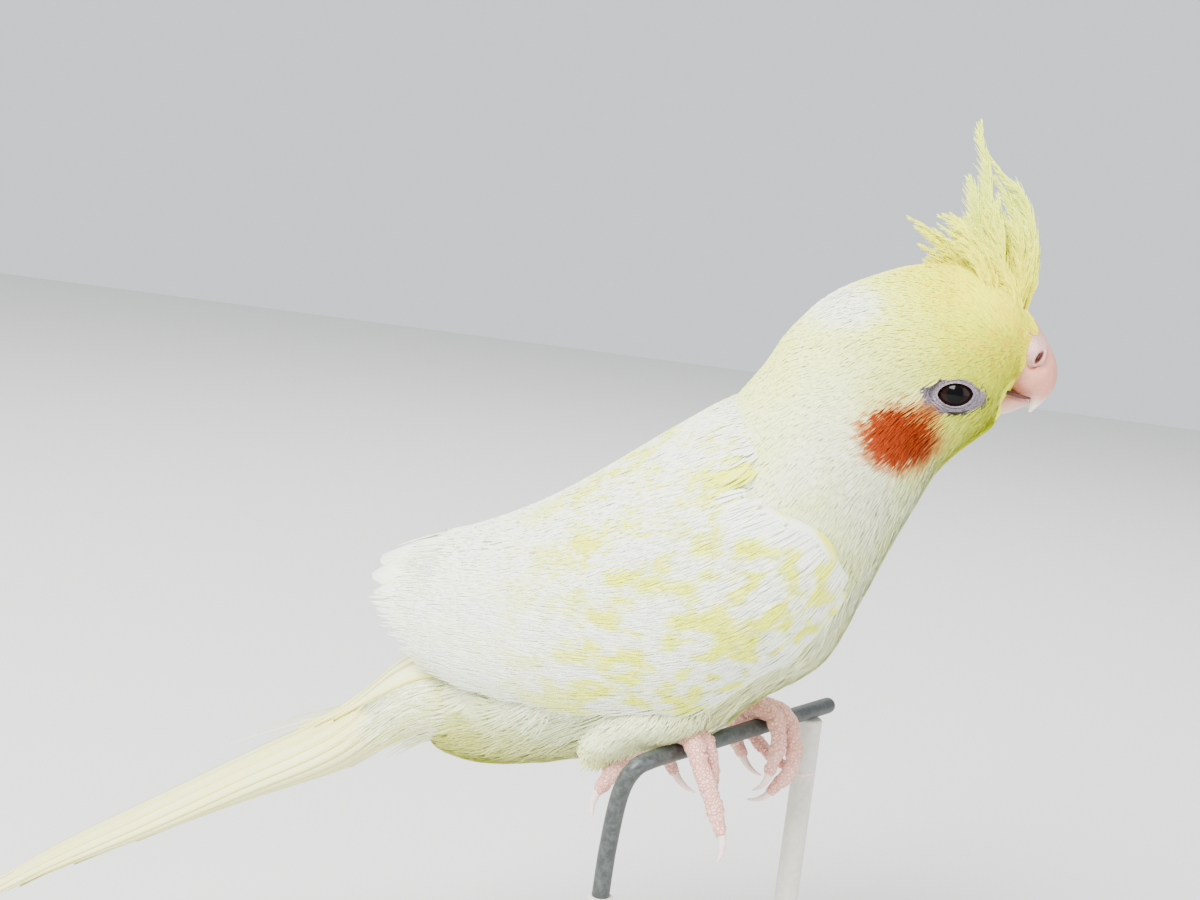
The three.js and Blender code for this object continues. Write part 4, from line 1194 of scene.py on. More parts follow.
    def saddle(self, finish: bpy.types.Material) -> None:
        """Lay the feathers between the shoulders, over a bed that fills the dip there.

        The bed is the wings' common form over the back, 1 mm under its surface and closed
        4 mm deeper, and its rim sinks as the eighth power of the distance from its middle.

        Args:
            finish: its material.
        """
        f = np.linspace(0, 1, 40)[:, None]
        g = np.linspace(-1, 1, 30)[None, :]
        t = 2.6 + 8.0 * f
        rim = 3.2 * np.maximum(np.abs(g) ** 8, np.abs(2 * f - 1) ** 8)
        angle = TOP + g * 0.95 * (1 - 0.4 * smooth(t, 6.5, 9.6))
        # The bed's colours are darkened a little: painted shade under the feathers.
        down_bed("saddle_down", self.sunk(t, angle, -1.0 - rim), self.sunk(t, angle, -5.0 + 0 * rim),
                 False, lambda p: MARKS.body(p) * DOWN_SHADE, stacked(0.5 + 0.4 * g, f), finish, "plumage")
        half = self.saddle_half
        t, angle = staggered(MANTLE, (3.0, 10.6), (TOP - half, TOP + half), lambda _: self.saddle_gap,
                             self.rng)
        keep = np.abs(angle - TOP) < half * (1 - 0.4 * smooth(t, 7.5, 9.6))
        t, angle = t[keep], angle[keep]
        tufts = Tufts(self.sunk, 9, 0.36, 0.28, 0.9)
        laid = tufts.lay(t, angle, MANTLE.down(t, angle), np.full(len(t), 8.0), (-0.9, 0.45), self.rng)
        tufts.piece("coat_saddle", laid, MARKS.wing(laid["roots"]), 11.0, finish)

    def lores(self, side: int, label: str, finish: bpy.types.Material) -> None:
        """Lay the short feathers that run over the base of the bill.

        Their bed runs from the front edge against the bill back to the head: the straight
        blend of the two lines, swelling by a sine between them.

        Args:
            side: 1 for the left, -1 for the right.
            label: that side's name.
            finish: their material.
        """
        back_x = np.array([44.5, 45.5, 46, 46, 46, 46, 46, 45.5, 45, 44.5, 43.5])
        tb, ab = BODY.seen_at(back_x, LORES_EDGE[:, 1] - np.linspace(-0.6, 0.6, 11))
        back = BODY.points(tb, ab, -0.5)

        def patch(q: np.ndarray, r: np.ndarray, lift: np.ndarray | float = 0.0) -> np.ndarray:
            """Blend from the front edge at q = 0 to the head at q = 1, r running down it."""
            q, r, lift = np.broadcast_arrays(q, r, lift)
            r = np.clip(r, 0, 10)
            place = between(spline(LORES_EDGE, r)[..., [0, 2, 1]], spline(back, r),
                            np.clip(q, -0.2, 1.3)[..., None])
            place[..., 1] += lift + 0.5 * np.sin(math.pi * np.clip(q, 0, 1)) - 0.4
            return place

        q, r = np.linspace(0, 1, 12)[:, None], np.linspace(0, 10, 40)[None, :]
        top, low = (mirrored(patch(q, r, lift), side) for lift in (-0.45, -2.2))
        down_bed(f"lores_{label}", top, low, side < 0, MARKS.body, stacked(q, r / 10), finish, "plumage")
        q = self.rng.uniform(0.0, 0.9, self.lores_count)
        r = self.rng.uniform(0.0, 10, self.lores_count)
        tufts = Tufts(patch, 5, 0.40, 0.15, 0.3)
        way = unit(stacked(-1.0, 0.12, 0.9 * smooth(r, 2.0, 0.0) - 0.1))
        laid = tufts.lay(q, r, way, np.full(len(q), 2.3), (-0.5, 0.30), self.rng, side=side)
        keep = self.clear(laid["roots"] + np.array([-2.0, 0, 0]), 0.95)
        laid = {key: values[keep] for key, values in laid.items()}
        tufts.piece(f"coat_lores_{label}", laid, MARKS.body(laid["roots"]), 1.4, finish, flip=side < 0)

    def build(self, finish: bpy.types.Material) -> None:
        """Lay the coat in pieces from the rump to the face, then thighs, saddle and lores.

        Args:
            finish: its material.
        """
        for name, sizes in self.bands.items():
            for label, start in (("left", -TOP), ("right", TOP)):
                self.band(f"coat_{name}_{label}", start, sizes, finish)
        self.thighs(finish)
        self.saddle(finish)
        for side, label in SIDES:
            self.lores(side, label, finish)


@dataclass
class Wing:
    """A folded, clipped wing: cut primaries, secondaries and tertials, with coverts over them."""

    side: int
    label: str
    shaft: str = "#F7F1DE"
    covert_gap: float = 1.9
    thick: float = 0.35

    def place(self, x: np.ndarray, z: np.ndarray, lift: np.ndarray) -> np.ndarray:
        """Find the place on the mantle that is seen at (x, z) from this wing's side."""
        return mirrored(MANTLE.points(*MANTLE.seen_at(x, z), lift), self.side)

    def vanes(self, root: np.ndarray, tip: np.ndarray, sag: np.ndarray | float, half: np.ndarray,
              lifts: np.ndarray, end: Tip, rng: np.random.Generator) -> Laid:
        """Lay flight feathers along bowed lines seen from the side, each a thin closed plate.

        A point of the vane is the line at its share along, moved across by the half width
        times the outline's share, on the mantle lifted from the root's to the tip's lift.

        Args:
            root: for each feather its root's x and z.
            tip: its tip's.
            sag: how far its middle hangs under the straight line.
            half: half widths in millimetres.
            lifts: for each feather the lift at root and at tip.
            end: how the feathers end.
            rng: source of the variations.

        Returns:
            Arrays of both faces, the vane map and the shares along and across.
        """
        s = np.linspace(0, 1, 14)[None, :, None]
        v = np.linspace(-1, 1, 9)[None, None, :]
        bow = 2 * ((root + tip) / 2 - np.stack([0 * half, sag + 0 * half], -1)) - (root + tip) / 2
        a, middle, c = (p[:, None, None, :] for p in (root, bow, tip))
        q = s[..., None]
        line = a * (1 - q) ** 2 + 2 * middle * q * (1 - q) + c * q * q
        way = unit(2 * (middle - a) * (1 - q) + 2 * (c - middle) * q)
        across = np.stack([-way[..., 1], way[..., 0]], -1)
        length = np.linalg.norm(tip - root, axis=-1)[:, None, None]
        shift = rng.uniform(-0.004, 0.002, (len(root), 1, 9)) * smooth(s, 0.86, 1) * length
        reach = v * half[:, None, None] * end.width(s)
        flat = line + across * reach[..., None] + way * shift[..., None]
        ridge = 0.22 * np.exp(-(v / 0.12) ** 2) * (1 - 0.6 * s)
        lift = between(lifts[:, :1, None], lifts[:, 1:, None], s) - 0.30 * v + ridge - 0.2 * v * v
        vane = stacked(reach, s * length)
        return {"top": self.place(flat[..., 0], flat[..., 1], lift),
                "low": self.place(flat[..., 0], flat[..., 1], lift - self.thick - ridge), "vane": vane,
                "s": np.broadcast_to(s, vane.shape[:-1]), "v": np.broadcast_to(v, vane.shape[:-1])}

    def tint(self, p: np.ndarray, s: np.ndarray, v: np.ndarray) -> np.ndarray:
        """Colour the flight feathers, each with a pale shaft."""
        return blended(MARKS.wing(p, s, v), self.shaft, 0.6 * np.exp(-(v / 0.07) ** 2))

    def flights(self, finish: bpy.types.Material, rng: np.random.Generator) -> None:
        """Lay the cut primaries, then the secondaries and tertials over them.

        Args:
            finish: its material.
            rng: source of the variations.
        """
        f = np.linspace(0, 1, 7)[:, None]
        root = between(np.array([15, 21]), np.array([10, 13.8]), f)
        tip = between(np.array([-48.5, 7.0]), np.array([-27, 5.6]), f)
        tip = tip + rng.normal(0, 0.5, tip.shape)
        lifts = np.stack([np.full(7, -1.6), -0.75 - 0.08 * np.arange(7)], -1)
        cut = self.vanes(root, tip, 0.9, np.full(7, 3.0), lifts, Tip.CUT, rng)
        ends = np.array([[-42, 7.4], [-47, 9.4], [-51.4, 11.8], [-55.6, 14.4], [-60.0, 16.6],
                         [-63.6, 19.0], [-65.0, 21.8], [-64.4, 24.6], [-60.0, 28.0],
                         [-54, 31.2], [-46.4, 33.6]])
        f = np.linspace(0, 1, 11)
        root = between(np.array([14, 24]), np.array([-11, 50]), f[:, None])
        lifts = np.stack([np.full(11, -1.1), np.linspace(-0.35, 0.5, 11)], -1)
        blades = self.vanes(root, ends, 1.3 - 1.5 * f, np.linspace(3.9, 5.3, 11), lifts, Tip.ROUND, rng)
        vane_plates(f"wing_{self.label}_flights", [cut, blades], self.tint, self.side < 0, finish,
                    "wing_plumage", f"wing_{self.label}")

    def coverts(self, finish: bpy.types.Material, rng: np.random.Generator) -> None:
        """Lay the coverts as soft fans that lie back along the wing, small on its front edge.

        Args:
            finish: its material.
            rng: source of the variations.
        """
        gap = self.covert_gap
        x, z = np.meshgrid(np.arange(-60, 30, gap), np.arange(0, 60, gap * 0.86))
        x = x + 0.5 * gap * (np.arange(x.shape[0]) % 2)[:, None]
        x, z = (a.ravel() + rng.normal(0, 0.22, a.size) for a in (x, z))
        keep = inside(WING_OUTLINE, x, z) & (x + 0.25 * (z - 30) > -52 + rng.normal(0, 2.5, x.size))
        x, z = x[keep], z[keep]
        high = smooth(z + 0.5 * x, 16, 46)
        way = mirrored(unit(stacked(-0.97 + 0.15 * high, 0.0, -0.12 - 0.45 * high)), self.side)
        length = 6.0 + 5.0 * smooth(x - 0.2 * z, 22, -10)
        tufts = Tufts(self.place, 13, 0.15, 0.23, 1.8, limits=(1.6, 1.6))
        laid = tufts.lay(x, z, way, length, (-0.6, 0.22), rng, 0.05)
        laid["t"], laid["angle"] = (x + 60) / 90, z / 10
        tufts.piece(f"wing_{self.label}_coverts", laid, MARKS.wing(laid["points"]), 1.0, finish,
                    "wing_plumage", self.side < 0)

    def bed(self, finish: bpy.types.Material) -> None:
        """Lay the thin bed of down under the feathers, inside the wing's outline.

        It is the mantle seen through a bent oval of x and z, 1 mm under its surface.

        Args:
            finish: its material.
        """
        q = np.linspace(0, 1, 30)[:, None]
        v = np.linspace(0, 1, 20)[None, :]
        lower, upper = (spline(edge, q * 5) for edge in (WING_LOWER, WING_UPPER))
        flat = between(lower, upper, v[..., None])
        rim = 1.2 * np.maximum(np.abs(2 * v - 1) ** 8, (1 - q) ** 12)
        top, low = (self.place(flat[..., 0], flat[..., 1], lift - rim) for lift in (-0.8, -2.6))
        down_bed(f"wing_{self.label}_down", top, low, self.side > 0, MARKS.wing,
                 stacked(v * 0.45, q * 0.9), finish, "wing_plumage", 0.5)

    def build(self, finish: bpy.types.Material) -> None:
        """Build the whole wing.

        Args:
            finish: its material.
        """
        rng = np.random.default_rng(SEED + 3 + self.side)
        self.bed(finish)
        self.flights(finish, rng)
        self.coverts(finish, rng)


@dataclass
class Tail:
    """The long folded tail: pairs of vanes laid as a roof, coverts over their roots.

    The ends are each pair's tip along the rows; a cover is its tip and its arc from the ridge.
    """

    ends: tuple[float, ...] = (8.95, 8.2, 7.4, 6.6, 5.8, 5.1, 4.4, 3.7)
    covers: tuple = ((1, 3.0, 7.6), (-1, 3.0, 7.6), (1, 3.25, 4.4), (-1, 3.25, 4.4), (1, 3.5, 1.2))
    yellow: str = "#F1F2B8"
    edge: str = "#E9E268"
    # ochre of the painted shadow line along each tail shaft
    shaft: str = "#B5953A"
    row_mm: float = 14.0

    def vane(self, side: int, start: float, end: float, arcs: tuple[float, float], half: float,
             lift: float, rng: np.random.Generator) -> Laid:
        """Lay one tail feather along the roof, arc millimetres from its ridge.

        Args:
            side: 1 for the left half, -1 for the right.
            start: the root's place along the rows.
            end: the tip's place.
            arcs: distance from the ridge at root and tip.
            half: half width.
            lift: height over the roof.
            rng: source of the variations.

        Returns:
            Arrays of both faces, the vane map and the shares along and across.
        """
        s = np.linspace(0, 1, 40)[:, None]
        v = np.linspace(-1, 1, 11)[None, :]
        t = between(start, end, s)
        wide = (0.72 + 0.28 * smooth(s, 0, 0.3)) * np.maximum(1 - smooth(s, 0.5, 1.02) ** 1.2, 0.04)
        fray = rng.uniform(-0.5, 0.5, (1, 11)) * 0.012 * smooth(s, 0.8, 1)
        across = v * half * wide
        _, tall, width, _ = TAIL.ellipse(t)
        radius = np.maximum((width + np.linalg.norm(tall, axis=-1)) / 2, 0.8)
        angle = TOP - side * (between(*arcs, s) + across) / radius
        ridge = 0.30 * np.exp(-(v / 0.10) ** 2) * (1 - 0.75 * s)
        up = lift + ridge - 0.22 * v * v + 0.35 * s * (1 - s)
        vane = stacked(across, s * self.row_mm * (end - start))[None]
        return {"top": TAIL.points(t + fray, angle, up)[None],
                "low": TAIL.points(t + fray, angle, up - 0.45 - ridge)[None], "vane": vane,
                "s": np.broadcast_to(s, vane.shape[:-1]), "v": np.broadcast_to(v, vane.shape[:-1])}

    def tint(self, p: np.ndarray, s: np.ndarray, v: np.ndarray) -> np.ndarray:
        """Colour the vanes pale yellow, brighter at the edges, with an ochre line of painted shadow along the
        shaft.
        """
        base = np.broadcast_to(np.array(srgb(self.yellow)[:3]), p.shape)
        rim = np.maximum(smooth(np.abs(v), 0.62, 0.95), 0.35 * smooth(noise(p, 5.0, 41), 0.35, 0.8))
        # The ochre line along each shaft is painted shadow: it stands for the shadowed gap between the
        # central and the outer feathers.
        line = np.exp(-(v / 0.085) ** 2) * smooth(s, 0.1, 0.3)
        return blended(blended(base, self.edge, 0.75 * rim), self.shaft, 0.75 * line)

    def build(self, finish: bpy.types.Material) -> None:
        """Lay the tail feathers and their coverts, then the core under them and its tufts.

        Args:
            finish: its material.
        """
        rng = np.random.default_rng(SEED + 11)
        groups = []
        for k, end in enumerate(self.ends):
            for side, _ in SIDES:
                arcs = (1.8 + 3.4 * k, 1.0 + 2.6 * k)
                lift = -0.34 * k + (0.3 if side > 0 and k == 0 else 0.0)
                groups.append(self.vane(side, 0.7 + 0.12 * k, end, arcs, 4.1 - 0.12 * k, lift, rng))
        for side, reach, arc in self.covers:
            groups.append(self.vane(side, 0.8, reach, (arc, arc * 0.6), 3.9, 0.8, rng))
        vane_plates("tail_feathers", groups, self.tint, False, finish, "tail_plumage", "tail")
        core, faces = closed_loft(Sections(TAIL_ROWS[:4]), 40, 40, -2.2)
        flat = core.reshape(-1, 3)
        # The core is painted a tenth darker than the vanes' yellow: painted shade under the feathers.
        shade = np.broadcast_to(np.array(srgb(self.yellow)[:3]) * 0.9, flat.shape)
        bake = np.stack([(flat[:, 0] + 170) / 180, (flat[:, 1] + 20) / 40], -1)
        dress(make_piece("tail_down", flat, faces[:, ::-1], shade, flat[:, [1, 0]], bake), finish,
              "tail_plumage")
        t, angle = staggered(TAIL, (0.1, 2.0), (0, TURN), lambda _: 1.8, rng)
        keep = np.sin(angle) > 1.2 * t - 1.6
        t, angle = t[keep], angle[keep]
        tufts = Tufts(TAIL.points, 11, 0.26, 0.30, 1.6)
        laid = tufts.lay(t, angle, -TAIL.down(t, angle), 14.0 - 2.0 * t, (-0.9, 0.4), rng, 0.08)
        amount = 0.35 + 0.5 * smooth(noise(laid["roots"], 5.0, 41), 0.35, 0.7)
        colour = blended(MARKS.ground(laid["roots"]), MARKS.under, amount)
        tufts.piece("tail_coverts", laid, colour, 9.0, finish, "tail_plumage", True)


@dataclass
class Crest:
    """Long soft crest feathers that fan out from the forehead, each a shaft with free barbs.

    The lines run from the front arc round to the rear wisps, each with its barbs' length.
    """

    lines: tuple = (
        (((51.7, 88.0), (52.5, 95.6), (51.5, 101.2), (49.3, 107.7), (45.4, 111.3), (40.9, 116.2)), 1.5),
        (((50.5, 88.4), (51.3, 94.3), (49.5, 102.1), (46.5, 107.4), (43.1, 111.8)), 1.6),
        (((49.4, 88.3), (49.7, 95.3), (48.1, 100.8), (45.0, 105.0)), 1.8),
        (((48.7, 85.3), (47.3, 92.7), (44.4, 102.6), (42.5, 109.8), (40.0, 117.5), (39.2, 121.0)), 1.7),
        (((46.9, 85.7), (43.9, 94.6), (41.8, 101.2), (40.4, 106.8), (38.7, 111.1)), 2.2),
        (((45.8, 85.5), (42.4, 93.2), (40.5, 98.8), (38.9, 103.4)), 2.0),
        (((45.9, 85.0), (42.0, 92.0), (39.7, 96.4), (33.4, 100.8), (28.8, 102.9)), 1.1),
        (((45.4, 84.3), (40.4, 91.3), (35.8, 95.9), (31.4, 98.3)), 1.1),
        (((44.3, 84.2), (39.0, 89.3), (35.3, 93.5), (33.6, 95.1)), 1.0),
    )
    filling: int = 110
    brow: int = 80
    brow_arc: tuple = ((0, 0), (-1.2, 3.2), (-4.0, 6.4), (-7.6, 8.4))
    deep: str = "#F8F000"
    pale: str = "#EFFA66"

    def feather(self, line: np.ndarray, y: float, reach: float,
                rng: np.random.Generator) -> tuple[np.ndarray, np.ndarray, np.ndarray]:
        """Make one crest feather from thin barbs that leave its shaft and lean to its tip.

        A barb is a strip of four rows: the shaft's point plus the reach times outwards and
        about twice the reach ahead, growing with its own share, and thinning to its end.

        Args:
            line: points of x and z from root to tip.
            y: distance from the middle plane.
            reach: the barbs' length across in millimetres.
            rng: source of the variations.

        Returns:
            Points, quads and shares along the feather.
        """
        last = len(line) - 1.0
        count = int(26 + 5.0 * np.linalg.norm(np.diff(line, axis=0), axis=1).sum())
        u = rng.uniform(0.04, 0.985, count)
        q = np.linspace(0, 1, 4)[None, :]
        base = spline(line, u * last)
        way = unit(spline(line, np.minimum(u + 0.02, 1) * last) - spline(line, (u - 0.02) * last))
        front = np.stack([way[:, 1], -way[:, 0]], -1)
        long = reach * smooth(u, -0.1, 0.25) * (1 - 0.7 * smooth(u, 0.55, 1.0)) * rng.uniform(0.6, 1.2, count)
        ahead = (long * rng.uniform(1.5, 3.0, count))[:, None] * q
        turn = rng.uniform(0, TURN, count)[:, None]
        out = long[:, None] * q ** 0.85
        sag = out * np.cos(turn) * 0.8 - 0.35 * long[:, None] * q * q
        flat = base[:, None] + way[:, None] * ahead[..., None] + front[:, None] * sag[..., None]
        spread = y * (1 - 0.35 * u[:, None]) + out * np.sin(turn)
        middle = np.stack([flat[..., 0], spread, flat[..., 1]], -1)
        thin = 0.17 * (1 - 0.85 * q)[..., None]
        edge = np.stack([front[:, 0], np.zeros(count), front[:, 1]], -1)[:, None, :]
        tilt = unit(edge + rng.normal(0, 0.5, (count, 1, 3)))
        strip = np.stack([middle - tilt * thin, middle + tilt * thin], 2)
        f = np.linspace(0, 1, len(line))
        row = np.stack([line[:, 0], y * (1 - 0.35 * f), line[:, 1], between(0.24, 0.05, f)], -1)
        shaft, faces, place = tube(row, 5, along=14)
        points, quads = joined([(strip, grid_faces(count, 4, 2)), (shaft, faces)])
        return points, quads, np.concatenate([np.repeat(u, 8), place])

    def plans(self, rng: np.random.Generator) -> list[tuple[np.ndarray, float, float]]:
        """Plan each feather's line, distance from the middle plane and reach.

        Args:
            rng: source of the variations.

        Returns:
            The long feathers, those that fill the fan between them and those on the brow.
        """
        ways = [(spline(np.array(line), np.linspace(0, len(line) - 1, 7)), reach)
                for line, reach in self.lines]
        found = [(line, rng.normal(0, 0.5), reach) for line, reach in ways for _ in range(2)]
        for _ in range(self.filling):
            k = rng.integers(0, len(ways) - 1)
            line = between(ways[k][0], ways[k + 1][0], rng.uniform())
            part = rng.uniform(0.35, 0.8) if k < 6 else rng.uniform(0.3, 0.95)
            line = spline(line, np.linspace(0, 6 * part, 7)) + rng.normal(0, 0.4, 2)
            found.append((line, rng.normal(0, 1.9), 1.5))
        t, angle = rng.uniform(17.3, 19.7, self.brow), TOP + rng.normal(0, 0.55, self.brow)
        for root, k in zip(BODY.points(t, angle, -0.8), rng.uniform(0.7, 1.5, self.brow)):
            found.append((root[[0, 2]] + np.array(self.brow_arc) * k, root[1], 1.0))
        return found

    def build(self, finish: bpy.types.Material) -> None:
        """Make all the crest's feathers as one piece, deep yellow at its foot and pale above.

        Args:
            finish: its material.
        """
        rng = np.random.default_rng(SEED + 21)
        parts, shares, roots, tints = [], [], [], []
        for line, y, reach in self.plans(rng):
            points, quads, share = self.feather(line, y, reach, rng)
            parts.append((points, quads))
            shares.append(share)
            roots.append(np.tile([[line[0][0], y]], (len(points), 1)))
            tints.append(np.full(len(points), np.clip(rng.normal(0.05, 0.2), 0, 0.8)))
        points, quads = joined(parts)
        share, root = np.concatenate(shares), np.concatenate(roots)
        amount = smooth(points[:, 2], 90, 113) * 0.9 + np.concatenate(tints)
        deep = np.broadcast_to(np.array(srgb(self.deep)[:3]), points.shape)
        bake = np.stack([0.1 + (root[:, 0] - 20) / 45 * 0.8, 0.5 + root[:, 1] / 16], -1)
        bake = bake + PATCH * np.stack([share - 0.5, share * 0], -1)
        dress(make_piece("crest_feathers", points, quads, blended(deep, self.pale, amount),
                         points[:, 1:], bake), finish, "crest_plumage", "crest")


@dataclass
class Bill:
    """The hooked upper half, the cupped lower half and the swollen cere with its nostrils."""

    naris: tuple[float, float] = (54.9, 80.7)
    mouth: tuple = ((49.8, 4.9, 73.7, 0.40), (51.6, 5.0, 73.5, 0.42), (53.2, 4.4, 73.1, 0.38),
                    (54.9, 3.2, 72.9, 0.25))

    def cere_shape(self, grid: np.ndarray, swelling: float = 0.8, wide: float = 1.0) -> np.ndarray:
        """Swell both sides round the nostril and press the nostril in, as bells seen from the side.

        Args:
            grid: the surface.
            swelling: how far the sides swell, in millimetres.
            wide: how much wider than the nostril the pit is.

        Returns:
            The shaped surface.
        """
        out = grid.copy()
        x, y, z = grid[..., 0] - self.naris[0], grid[..., 1], grid[..., 2] - self.naris[1]
        on_side = np.sign(y) * smooth(np.abs(y), 1.0, 3.0)
        swell = swelling * np.exp(-(np.hypot(x, z / 1.2) / 2.3) ** 4) * on_side
        at = np.hypot((x - 0.35 * z) / 0.5, z / 1.05) / wide
        out[..., 1] += swell - 3.0 * np.exp(-at ** 4) * on_side
        out[..., 0] += 0.4 * np.abs(swell)
        return out

    def hollowed(self, grid: np.ndarray) -> np.ndarray:
        """Sink the horn behind the nostril, so that it stays open."""
        return self.cere_shape(grid, -0.5, 1.9)

    def build(self, horn: bpy.types.Material, low_horn: bpy.types.Material,
              skin: bpy.types.Material, gape: bpy.types.Material) -> None:
        """Build the halves, the cere and the dark moist line where the halves meet, its darkness partly
        painted shadow.

        Args:
            horn: the upper half's material.
            low_horn: the lower half's.
            skin: the cere's.
            gape: the mouth line's, dark skin and painted shadow.
        """
        for name, rows, material, slot, node, shape in (
            ("bill_upper", BILL_UPPER_ROWS, horn, "horn", "beak_upper", self.hollowed),
            ("bill_lower", BILL_LOWER_ROWS, low_horn, "horn", "beak_lower", None),
            ("cere_skin", CERE_ROWS, skin, "cere_skin", "cere", self.cere_shape),
        ):
            loft = closed_loft(Sections(rows), 120, 128, 0.0, shape, (0.4, 0.35))
            dress(make_piece(name, *loft), material, slot, node)
        # The dark mouth line is partly the moist skin at the mouth's corner and partly painted shadow in the
        # join of the halves.
        line = np.array(self.mouth)
        halves = joined([tube(line * [1, side, 1, 1], 10, along=30)[:2] for side, _ in SIDES])
        dress(make_piece("mouth_line", *halves), gape, "cere_skin")


@dataclass
class Eye:
    """One eye with its wet ball and the wrinkled bare lids round it."""

    side: int
    label: str
    flesh: Flesh
    opening: tuple[float, float] = (2.95, 2.1)
    ring: tuple[float, float] = (6.9, 4.7)
    lean: float = 8.0
    folds: float = 5.4
    fold_mm: float = 0.22

    def ball(self, finish: bpy.types.Material) -> None:
        """Make the ball: a sphere whose pole faces outwards, a cornea bulging over the iris.

        Args:
            finish: its material.
        """
        polar = np.linspace(0.004, math.pi - 0.004, 48)[:, None]
        turn = np.linspace(0, TURN, 64, endpoint=False)[None, :]
        radius = self.flesh.eye_r + 0.12 * np.exp(-(polar / 0.5) ** 2)
        wide = radius * np.sin(polar)
        local = stacked(wide * np.cos(turn), radius * np.cos(polar), wide * np.sin(turn))
        points = mirrored(local + np.array(self.flesh.eye_at), self.side)
        ring = stacked(turn, wide + 9 * (polar > 1.6))
        quads = grid_faces(1, 48, 64, round_it=True, flip=self.side < 0)
        dress(make_piece(f"eyeball_{self.label}", points, quads, vane=ring), finish, "eye",
              f"eye_{self.label}")

    def lids(self, finish: bpy.types.Material) -> None:
        """Make the lids as a ring of folds between the ball and the feathered head.

        The ring's radius grows from the opening's ellipse to the outer ellipse; its depth
        blends from the ball's surface to the head's, with sine folds that fade outwards.

        Args:
            finish: its material.
        """
        turn = np.linspace(0, TURN, 96, endpoint=False)[None, :]
        r = np.linspace(0, 1, 30)[:, None]
        pinch = 1 + 0.05 * np.cos(turn) ** 8
        u = between(self.opening[0] * pinch, self.ring[0], r) * np.cos(turn)
        w = between(self.opening[1], self.ring[1], r) * np.sin(turn)
        lean = math.radians(self.lean)
        dx = u * math.cos(lean) - w * math.sin(lean)
        dz = u * math.sin(lean) + w * math.cos(lean)
        ex, ey, ez = self.flesh.eye_at
        x, z = ex + dx, ez + dz
        head = BODY.points(*BODY.seen_at(x, z), -0.75)[..., 1]
        away, ball_r = dx ** 2 + dz ** 2, self.flesh.eye_r
        ball = ey + np.sqrt(np.maximum((ball_r + 0.35) ** 2 - away, 2.0))
        wander = 0.5 * np.sin(turn * 3 + 1) + 0.3 * np.sin(turn * 7)
        fold = self.fold_mm * np.sin(r * TURN * self.folds + wander) * smooth(r, 0.0, 0.1) * (1 - 0.4 * r)
        pucker = 0.05 * np.sin(turn * 23 + 3 * np.sin(turn * 3)) * smooth(r, 0.0, 0.3)
        y = between(ball, head, smooth(r, 0.15, 0.95)) + fold + pucker + 0.30 * np.exp(-(r / 0.07) ** 2)
        inner_y = ey + np.sqrt(np.maximum(ball_r ** 2 - away[:1], 1.0)) - 0.4
        inner = np.stack([x[:1], inner_y, z[:1]], -1)
        grid = mirrored(np.concatenate([inner, np.stack([x, y, z], -1)]), self.side)
        quads = grid_faces(1, 31, 96, round_it=True, flip=self.side < 0)
        dress(make_piece(f"lids_{self.label}", grid, quads), finish, "cere_skin")

    def build(self, wet: bpy.types.Material, bare: bpy.types.Material) -> None:
        """Build ball and lids."""
        self.ball(wet)
        self.lids(bare)


def on_wire(t: float) -> np.ndarray:
    """Give the wire's middle line t millimetres from under the right foot."""
    return np.array([WIRE_DIR[0] * t, -FOOT_Y + WIRE_DIR[1] * t, -WIRE_R - 0.1])


